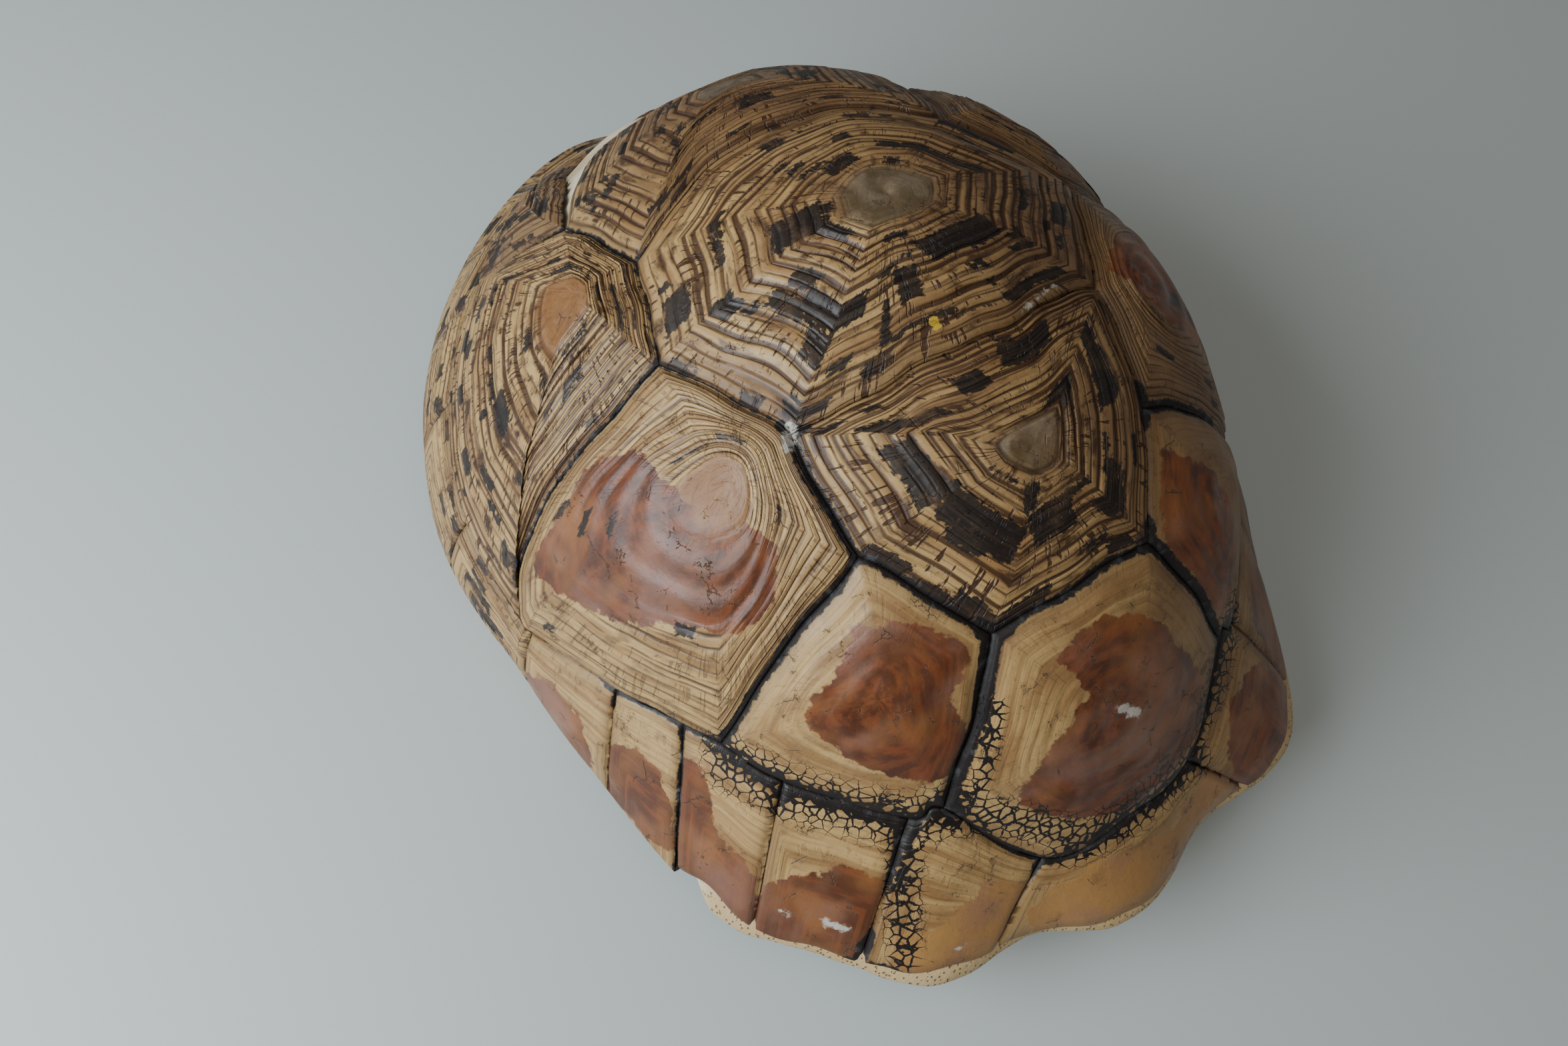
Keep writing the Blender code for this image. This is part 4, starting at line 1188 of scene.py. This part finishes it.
class Nodes:
    """Short calls that add shader nodes to a material and join them up."""

    def __init__(self, name):
        self.material = bpy.data.materials.new(name + LOOKS_ENDING)
        self.material.use_nodes = True
        self.tree = self.material.node_tree
        self.surface = self.tree.nodes["Principled BSDF"]
        self.surface.inputs["Specular IOR Level"].default_value = SHEEN_LEVEL

    def set(self, socket, value):
        if isinstance(value, bpy.types.NodeSocket):
            self.tree.links.new(value, socket)
        else:
            socket.default_value = value

    def field(self, name, output="Fac"):
        node = self.tree.nodes.new("ShaderNodeAttribute")
        node.attribute_name = name
        return node.outputs[output]

    def places(self):
        """Places on the object, in millimetres."""
        coordinates = self.tree.nodes.new("ShaderNodeTexCoord")
        return self.scaled(coordinates.outputs["Object"], (1 / MM, 1 / MM, 1 / MM))

    def scaled(self, vector, scale):
        node = self.tree.nodes.new("ShaderNodeVectorMath")
        node.operation = "MULTIPLY"
        self.set(node.inputs[0], vector)
        self.set(node.inputs[1], scale)
        return node.outputs["Vector"]

    def bent(self, vector, scale, amount):
        """The places shifted by noise, so that lines drawn there are jagged."""
        node = self.tree.nodes.new("ShaderNodeVectorMath")
        node.operation = "ADD"
        self.set(node.inputs[0], vector)
        shift = self.noise(vector, scale, 4.0, 0.7)
        self.set(node.inputs[1], self.scaled(shift, (amount, amount, amount)))
        return node.outputs["Vector"]

    def noise(self, vector, scale, detail=3.0, roughness=0.55, distortion=0.0):
        node = self.tree.nodes.new("ShaderNodeTexNoise")
        self.set(node.inputs["Vector"], vector)
        node.inputs["Scale"].default_value = scale
        node.inputs["Detail"].default_value = detail
        node.inputs["Roughness"].default_value = roughness
        node.inputs["Distortion"].default_value = distortion
        return node.outputs["Fac"]

    def cells(self, vector, scale, feature, output="Distance", randomness=1.0):
        node = self.tree.nodes.new("ShaderNodeTexVoronoi")
        node.feature = feature
        self.set(node.inputs["Vector"], vector)
        node.inputs["Scale"].default_value = scale
        node.inputs["Randomness"].default_value = randomness
        return node.outputs[output]

    def streaks(self, growth, across, along, detail=3.0, roughness=0.55):
        """Noise drawn out along the rings, with its scales across and along them."""
        return self.noise(self.scaled(growth, (across, along, along)), 1.0, detail, roughness)

    def math(self, operation, first, second=0.0, third=0.0):
        node = self.tree.nodes.new("ShaderNodeMath")
        node.operation = operation
        for socket, value in zip(node.inputs, (first, second, third)):
            self.set(socket, value)
        return node.outputs["Value"]

    def ramp(self, value, start, end, low=0.0, high=1.0):
        """low to high as the value goes from start to end, smoothly."""
        node = self.tree.nodes.new("ShaderNodeMapRange")
        node.interpolation_type = "SMOOTHSTEP"
        for key, number in (("From Min", start), ("From Max", end), ("To Min", low), ("To Max", high)):
            node.inputs[key].default_value = number
        self.set(node.inputs["Value"], value)
        return node.outputs["Result"]

    def mix(self, share, first, second, blend="MIX"):
        node = self.tree.nodes.new("ShaderNodeMix")
        node.data_type = "RGBA"
        node.blend_type = blend
        self.set(node.inputs["Factor"], share)
        self.set(node.inputs["A"], rgba(first))
        self.set(node.inputs["B"], rgba(second))
        return next(socket for socket in node.outputs if socket.type == "RGBA")

    def times(self, *values):
        total = values[0]
        for value in values[1:]:
            total = self.math("MULTIPLY", total, value)
        return total

    def finish(self, color, roughness, height, bump_mm):
        bump = self.tree.nodes.new("ShaderNodeBump")
        bump.inputs["Distance"].default_value = bump_mm * MM
        self.set(bump.inputs["Height"], height)
        self.set(self.surface.inputs["Normal"], bump.outputs["Normal"])
        self.set(self.surface.inputs["Base Color"], color)
        self.set(self.surface.inputs["Roughness"], roughness)
        return self.material


def rgba(value):
    return value if isinstance(value, bpy.types.NodeSocket) else (*value, 1.0)


STRAW = (0.38, 0.24, 0.095)
TAN = (0.22, 0.118, 0.042)
# AMBER is the horn's darker colour, and also the colour of the painted shade on the animal's right side.
AMBER = (0.145, 0.078, 0.033)
LINE_BROWN = (0.040, 0.016, 0.006)
DIRT_BROWN = (0.095, 0.050, 0.022)
BLACK_BROWN = (0.007, 0.004, 0.0035)
SEAM_DUST = (0.055, 0.055, 0.06)
CHESTNUT = (0.135, 0.036, 0.011)
DEEP_CHESTNUT = (0.060, 0.018, 0.008)
ORANGE_HORN = (0.23, 0.092, 0.028)
ORANGE_TAN = (0.29, 0.15, 0.048)
MAUVE = (0.20, 0.098, 0.070)
AREOLA_COVER = 0.85
AREOLA_OLIVE = (0.058, 0.042, 0.021)
AREOLA_RED = (0.19, 0.070, 0.018)
WORN_GREY = (0.15, 0.115, 0.075)
CHALK = (0.42, 0.39, 0.34)
PAINT_YELLOW = (0.42, 0.27, 0.02)
BONE_PALE = (0.62, 0.53, 0.38)
BONE_SHADE = (0.40, 0.31, 0.18)
BONE_STAIN = (0.17, 0.11, 0.05)
RIM_TAN = (0.40, 0.265, 0.11)
HORN_YELLOW = (0.50, 0.38, 0.19)
HORN_STAIN = (0.10, 0.045, 0.02)
HORN_RELIEF_MM = 0.45
BONE_RELIEF_MM = 0.5
PLASTRON_RELIEF_MM = 0.4


def growth_lines(nodes, growth):
    """Thin dark lines that follow the rings and fade in and out along them."""
    drift = nodes.streaks(growth, 0.22, 0.02, 2.0)
    ring = nodes.tree.nodes.new("ShaderNodeSeparateXYZ")
    nodes.set(ring.inputs[0], growth)
    wave = nodes.math("PINGPONG", nodes.math("MULTIPLY_ADD", ring.outputs["X"], 0.36, drift), 0.5)
    fade = nodes.ramp(nodes.streaks(growth, 0.55, 0.05), 0.30, 0.55)
    return nodes.times(nodes.ramp(wave, 0.0, 0.20, 1.0, 0.0), fade)


def horn_base(nodes, growth, places):
    """The straw and tan bands of the horn, darkened towards amber by each scute's own darkness and by
    painted shade that darkens and warms the animal's right side.
    """
    bands = nodes.streaks(growth, 0.20, 0.018, 3.0, 0.6)
    fine_bands = nodes.streaks(growth, 0.95, 0.035, 2.0, 0.6)
    cloud = nodes.ramp(nodes.noise(places, 0.028), 0.45, 0.75, 0.0, 0.4)
    color = nodes.mix(nodes.ramp(bands, 0.40, 0.66), STRAW, TAN)
    # Painted shade: besides each scute's own darkness, the right side (low u) is mixed towards amber, darker
    # and warmer.
    warmth_and_side_shade = nodes.math("MULTIPLY_ADD", nodes.field("tone_and_side_shade"), 0.85, cloud)
    color = nodes.mix(nodes.ramp(warmth_and_side_shade, 0.25, 1.1), color, AMBER)
    return nodes.mix(nodes.ramp(fine_bands, 0.50, 0.75, 0.0, 0.5), color, TAN)


def ring_marks(nodes, growth, color):
    """Grooves, growth lines, ticks across them and smudges. Gives the colour, the lines and the ticks."""
    ringed = nodes.field("ringed")
    plain = nodes.math("SUBTRACT", 1.0, nodes.times(nodes.field("areola"), AREOLA_COVER))
    lines = nodes.times(growth_lines(nodes, growth), nodes.ramp(ringed, 0.0, 0.9), plain)
    ticks = nodes.ramp(nodes.streaks(growth, 0.10, 0.55, 2.0), 0.57, 0.63)
    tick_bands = nodes.ramp(nodes.streaks(growth, 0.30, 0.03, 2.0), 0.44, 0.56)
    ticks = nodes.times(ticks, tick_bands, ringed, plain)
    smudge = nodes.ramp(nodes.streaks(growth, 0.28, 0.07, 4.0, 0.6), 0.50, 0.68)
    grooves = nodes.ramp(nodes.field("groove"), 0.15, 0.85, 0.0, 0.92)
    shares = grooves, nodes.times(lines, 0.85), nodes.times(ticks, 0.65), nodes.times(smudge, ringed, 0.6)
    for share in shares:
        color = nodes.mix(share, color, LINE_BROWN)
    return color, lines, ticks


def areola(nodes, places, color):
    """The smooth middle of a scute, olive and grey or reddish."""
    middle = nodes.mix(nodes.ramp(nodes.noise(places, 0.12), 0.35, 0.7), AREOLA_OLIVE, WORN_GREY)
    middle = nodes.mix(nodes.times(nodes.field("redness"), 0.85), middle, AREOLA_RED)
    return nodes.mix(nodes.times(nodes.field("areola"), AREOLA_COVER), color, middle)


def worn_patch(nodes, color, growth, places):
    """The smooth chestnut patches, with their wavy outlines. Gives the colour and where the patch is."""
    outline = nodes.math("MULTIPLY_ADD", nodes.noise(places, 0.16, 4.0, 0.6), 7.0, nodes.field("patch"))
    inside = nodes.ramp(outline, 3.6, 4.3)
    streaks = nodes.streaks(growth, 0.30, 0.05, 4.0, 0.6)
    chestnut = nodes.mix(nodes.ramp(streaks, 0.38, 0.64), DEEP_CHESTNUT, CHESTNUT)
    warmer = nodes.ramp(nodes.noise(places, 0.05, 2.0), 0.42, 0.70, 0.0, 0.65)
    chestnut = nodes.mix(warmer, chestnut, ORANGE_HORN)
    chestnut = nodes.mix(nodes.field("redness"), ORANGE_TAN, chestnut)
    bloom = nodes.ramp(nodes.noise(places, 0.035, 3.0), 0.48, 0.68, 0.0, 0.55)
    chestnut = nodes.mix(bloom, chestnut, MAUVE)
    return nodes.mix(inside, color, chestnut), inside


def blotches(nodes, growth, color):
    ragged = nodes.streaks(growth, 0.70, 0.30, 3.0, 0.65)
    inside = nodes.ramp(nodes.math("MULTIPLY_ADD", ragged, 5.0, nodes.field("blotch")), 2.7, 3.3)
    return nodes.mix(nodes.times(inside, 0.96), color, BLACK_BROWN)


def dirt(nodes, places, color):
    """Grime near the edges, stains, specks and hairline cracks. Gives the colour and the hairlines."""
    grime = nodes.ramp(nodes.field("edge"), 0.0, 6.0, 0.40, 0.0)
    color = nodes.mix(grime, color, LINE_BROWN)
    stains = nodes.ramp(nodes.noise(places, 0.11, 6.0, 0.72), 0.50, 0.72, 0.0, 0.55)
    specks = nodes.ramp(nodes.noise(places, 0.75, 4.0, 0.7), 0.60, 0.72, 0.0, 0.45)
    color = nodes.mix(nodes.math("MAXIMUM", stains, specks), color, DIRT_BROWN)
    hairline = nodes.cells(nodes.bent(places, 0.25, 6.0), 0.085, "DISTANCE_TO_EDGE")
    hairline = nodes.times(nodes.ramp(hairline, 0.0, 0.022, 1.0, 0.0), nodes.ramp(stains, 0.02, 0.25))
    return nodes.mix(nodes.times(hairline, 0.6), color, LINE_BROWN), hairline


def crazed_cracks(nodes, places, color):
    """The net of cracks near some seams, wider towards the seam. Gives the colour and the cracks."""
    crazed = nodes.field("crazed")
    width = nodes.ramp(crazed, 0.0, 1.0, 0.02, 0.13)
    near_seam = nodes.ramp(nodes.field("edge"), 0.0, 6.0, 0.26, 0.0)
    width = nodes.math("ADD", width, nodes.times(near_seam, crazed))
    crack = nodes.cells(nodes.bent(places, 0.5, 1.6), 0.30, "DISTANCE_TO_EDGE")
    crack = nodes.ramp(nodes.math("SUBTRACT", width, crack), 0.0, 0.03)
    crack = nodes.times(crack, nodes.ramp(crazed, 0.02, 0.15))
    return nodes.mix(crack, color, BLACK_BROWN), crack


def dark_seam(nodes, places, color):
    """The black band beside a seam, dusty in places. Gives the colour and where the band is."""
    seam = nodes.math("MULTIPLY_ADD", nodes.noise(places, 0.35, 4.0, 0.65), 3.4, nodes.field("seam"))
    seam = nodes.math("SUBTRACT", seam, nodes.times(nodes.field("crazed"), 1.5))
    seam = nodes.ramp(seam, 1.7, 2.4)
    dust = nodes.ramp(nodes.noise(places, 0.22), 0.52, 0.72, 0.0, 0.7)
    return nodes.mix(seam, color, nodes.mix(dust, BLACK_BROWN, SEAM_DUST)), seam


def small_marks(nodes, places, color):
    """The worn-white marks and the spot of paint."""
    chalk = nodes.math("MULTIPLY_ADD", nodes.noise(places, 0.45, 4.0, 0.7), 7.0, nodes.field("chalk"))
    color = nodes.mix(nodes.ramp(chalk, 3.2, 4.6, 0.0, 0.9), color, CHALK)
    paint = nodes.math("MULTIPLY_ADD", nodes.noise(places, 0.6), 3.0, nodes.field("paint"))
    return nodes.mix(nodes.ramp(paint, 1.6, 1.9), color, PAINT_YELLOW)


def horn(name, roughness, patch_tint):
    """The scutes' horn: banded straw and tan with growth lines, blotches, patches, seams and crazing.

    patch_tint is how much orange the worn patches take on."""
    nodes = Nodes(name)
    growth = nodes.field("growth", "Vector")
    places = nodes.places()
    color = horn_base(nodes, growth, places)
    color, lines, ticks = ring_marks(nodes, growth, color)
    color = areola(nodes, places, color)
    color, worn = worn_patch(nodes, color, growth, places)
    color = nodes.mix(nodes.times(worn, patch_tint), color, ORANGE_HORN)
    color = blotches(nodes, growth, color)
    color, hairline = dirt(nodes, places, color)
    color, crack = crazed_cracks(nodes, places, color)
    color, seam = dark_seam(nodes, places, color)
    color = small_marks(nodes, places, color)

    rough = nodes.ramp(nodes.noise(places, 0.06, 2.0), 0.3, 0.7, roughness, roughness + 0.14)
    rough = nodes.math("SUBTRACT", rough, nodes.times(worn, 0.05))
    rough = nodes.math("ADD", rough, nodes.times(nodes.math("MAXIMUM", lines, seam), 0.15))
    relief = nodes.times(nodes.noise(places, 0.9), 0.12)
    for mark, depth in ((lines, -0.55), (ticks, -0.4), (crack, -0.9), (hairline, -0.5)):
        relief = nodes.math("MULTIPLY_ADD", mark, depth, relief)
    relief = nodes.math("MULTIPLY_ADD", nodes.noise(places, 0.22, 2.0), 0.5, relief)
    return nodes.finish(color, rough, relief, HORN_RELIEF_MM)


def bone():
    """Pale dry bone: pitted where its edge is bare, and dusty with faint sutures inside."""
    nodes = Nodes("bone")
    places = nodes.places()
    cloud = nodes.noise(places, 0.05, 4.0, 0.6)
    color = nodes.mix(nodes.ramp(cloud, 0.35, 0.72), BONE_PALE, BONE_SHADE)
    color = nodes.mix(nodes.times(nodes.field("bare"), 0.8), color, RIM_TAN)
    pits = nodes.cells(places, 0.75, "F1")
    pits = nodes.times(nodes.ramp(pits, 0.16, 0.34, 1.0, 0.0), nodes.field("bare"))
    fine_pits = nodes.ramp(nodes.cells(places, 1.4, "F1"), 0.10, 0.22, 0.6, 0.0)
    suture = nodes.cells(nodes.bent(places, 0.5, 7.0), 0.018, "DISTANCE_TO_EDGE")
    suture = nodes.times(nodes.ramp(suture, 0.0, 0.02, 0.65, 0.0), nodes.field("inside"))
    stain = nodes.ramp(nodes.noise(places, 0.12, 4.0, 0.65), 0.52, 0.75, 0.0, 0.7)
    color = nodes.mix(stain, color, BONE_SHADE)
    color = nodes.mix(nodes.math("MAXIMUM", nodes.times(pits, 0.8), suture), color, BONE_STAIN)
    color = nodes.mix(nodes.times(fine_pits, 0.4), color, BONE_STAIN)
    relief = nodes.math("MULTIPLY_ADD", nodes.noise(places, 0.5, 4.0), 0.5, nodes.times(pits, -1.0))
    relief = nodes.math("ADD", relief, nodes.times(suture, -0.8))
    return nodes.finish(color, 0.62, relief, BONE_RELIEF_MM)


def plastron_horn():
    """The plastron's paler horn, with nested growth lines and dark brown rays."""
    nodes = Nodes("plastron_keratin")
    growth = nodes.field("growth", "Vector")
    places = nodes.places()
    bands = nodes.streaks(growth, 0.25, 0.02)
    color = nodes.mix(nodes.ramp(bands, 0.4, 0.7), HORN_YELLOW, TAN)
    lines = growth_lines(nodes, growth)
    stain = nodes.math("MULTIPLY_ADD", nodes.noise(places, 0.10, 5.0, 0.65), 26.0, nodes.field("stain"))
    stain = nodes.ramp(stain, 15.0, 20.0)
    rays = nodes.ramp(nodes.streaks(growth, 0.05, 0.35), 0.42, 0.56)
    color = nodes.mix(nodes.times(stain, rays, 0.9), color, HORN_STAIN)
    color = nodes.mix(nodes.times(lines, 0.55), color, LINE_BROWN)
    color = nodes.mix(nodes.ramp(nodes.field("groove"), 0.2, 0.9, 0.0, 0.7), color, LINE_BROWN)
    color = nodes.mix(nodes.ramp(nodes.field("edge"), 0.3, 1.3, 0.85, 0.0), color, LINE_BROWN)
    relief = nodes.math("MULTIPLY_ADD", nodes.noise(places, 0.8, 3.0), 0.2, nodes.times(lines, -0.5))
    rough = nodes.ramp(nodes.noise(places, 0.05, 2.0), 0.3, 0.7, 0.36, 0.52)
    return nodes.finish(color, rough, relief, PLASTRON_RELIEF_MM)


# The whole shell.


def build_carapace(dome_horn, rim_horn):
    seed = 0
    for name, outline in vertebral_outlines().items():
        seed += 1
        dome_scute(name, outline, CENTRES[name], seed, dome_horn)
    for side, word in ((1, "left"), (-1, "right")):
        for name, outline in costal_outlines(side).items():
            seed += 1
            centre = (side * CENTRES[name][0], CENTRES[name][1])
            dome_scute(f"{name}_{word}", outline, centre, seed, dome_horn)
        for number in range(1, 12):
            seed += 1
            line = marginal_line(MARGINAL_ENDS[number - 1], MARGINAL_ENDS[number], side)
            rims = RIM_SEAMS[number - 1], RIM_SEAMS[number]
            if side < 0:
                rims = 180 - rims[0], 180 - rims[1]
            is_free = number in FREE_EDGED_MARGINALS
            marginal_scute(f"marginal_{number}_{word}", line, rims, is_free, seed, rim_horn)
    left, right = (marginal_line("m11_tail", "tail", side) for side in (1, -1))
    line = np.concatenate([left, right[-2::-1]])
    rims = RIM_SEAMS[-1], 180 - RIM_SEAMS[-1]
    marginal_scute("supracaudal", line, rims, True, seed + 1, rim_horn)


def build_plastron(material):
    seed = 100
    for number, name in enumerate(PLASTRAL_NAMES):
        for side, word in ((1, "left"), (-1, "right")):
            seed += 1
            seams = PLASTRAL_SEAMS[number], PLASTRAL_SEAMS[number + 1]
            plastral_scute(f"{name}_{word}", *seams, side, seed, material)


# The setting.

FLOOR_COLOR = (0.40, 0.43, 0.42, 1)
FLOOR_ROUGHNESS = 0.55
FLOOR_GAP = 0.0002
FLOOR_HALF_WIDTH = 40 * SHELL_LENGTH * SCALE
WORLD_COLOR = (1.0, 0.97, 0.92, 1)
WORLD_STRENGTH = 0.21
# Names, azimuths and elevations in degrees, distances and widths in shell lengths, watts and colours.
LIGHTS = (
    ("window", 84, 30, 2.6, 2.0, 17.5, (0.86, 0.94, 1.0)),
    ("ceiling", 150, 75, 4.5, 3.0, 5, (1.0, 0.95, 0.86)),
)
# The camera, as fitted to the photograph. Its place is in the carapace's own metres.
CAMERA_AZIMUTH = 140.5431
CAMERA_ELEVATION = 64.2077
CAMERA_ROLL = 9.1198
CAMERA_LENS = 27.746
CAMERA_PLACE = (0.1541, 0.1617, 0.4346)


def add_floor():
    """A smooth pale table top that reaches far past the view."""
    half, z = FLOOR_HALF_WIDTH, cad_low.z - FLOOR_GAP
    corners = [(-half, -half, z), (half, -half, z), (half, half, z), (-half, half, z)]
    mesh = bpy.data.meshes.new("floor")
    mesh.from_pydata(corners, [], [(0, 1, 2, 3)])
    material = bpy.data.materials.new("floor")
    material.use_nodes = True
    surface = material.node_tree.nodes["Principled BSDF"]
    surface.inputs["Base Color"].default_value = FLOOR_COLOR
    surface.inputs["Roughness"].default_value = FLOOR_ROUGHNESS
    mesh.materials.append(material)
    floor = bpy.data.objects.new("floor", mesh)
    bpy.context.scene.collection.objects.link(floor)


def add_light(name, azimuth, elevation, distance, size, power, color):
    """A soft square light that faces the shell, at that azimuth, elevation and distance in shell lengths."""
    light = bpy.data.lights.new(name, "AREA")
    light.shape = "SQUARE"
    light.size = size * SHELL_LENGTH * SCALE
    light.energy = power
    light.color = color
    lamp = bpy.data.objects.new(name, light)
    back = direction(azimuth, elevation)
    lamp.location = shell_middle() + back * distance * SHELL_LENGTH * SCALE
    lamp.rotation_mode = "QUATERNION"
    lamp.rotation_quaternion = (-back).to_track_quat("-Z", "Y")
    bpy.context.scene.collection.objects.link(lamp)


def direction(azimuth, elevation):
    a, e = math.radians(azimuth), math.radians(elevation)
    return Vector((math.sin(a) * math.cos(e), -math.cos(a) * math.cos(e), math.sin(e)))


def shell_middle():
    return (cad_low + cad_high) / 2


def add_lights():
    world = bpy.data.worlds.new("studio")
    world.use_nodes = True
    background = world.node_tree.nodes["Background"]
    background.inputs["Color"].default_value = WORLD_COLOR
    background.inputs["Strength"].default_value = WORLD_STRENGTH
    bpy.context.scene.world = world
    for light in LIGHTS:
        add_light(*light)


def add_camera():
    data = bpy.data.cameras.new("camera")
    data.sensor_width = 36
    data.lens = CAMERA_LENS
    data.clip_start = 0.01
    data.clip_end = 100
    back = direction(CAMERA_AZIMUTH, CAMERA_ELEVATION)
    right = Vector(UP).cross(back).normalized()
    up = right.cross(-back)
    roll = math.radians(CAMERA_ROLL)
    x_axis = right * math.cos(roll) + up * math.sin(roll)
    y_axis = up * math.cos(roll) - right * math.sin(roll)
    camera = bpy.data.objects.new("camera", data)
    place = Vector(to_frame(np.array(CAMERA_PLACE)))
    camera.matrix_world = Matrix.Translation(place) @ Matrix((x_axis, y_axis, back)).transposed().to_4x4()
    bpy.context.scene.collection.objects.link(camera)
    bpy.context.scene.camera = camera


shell_bone = bone()
carapace_bone(shell_bone)
plastron_bone(shell_bone)
build_carapace(horn("dome_keratin", 0.39, 0.0), horn("rim_keratin", 0.37, 0.05))
build_plastron(plastron_horn())
add_floor()
add_lights()
add_camera()
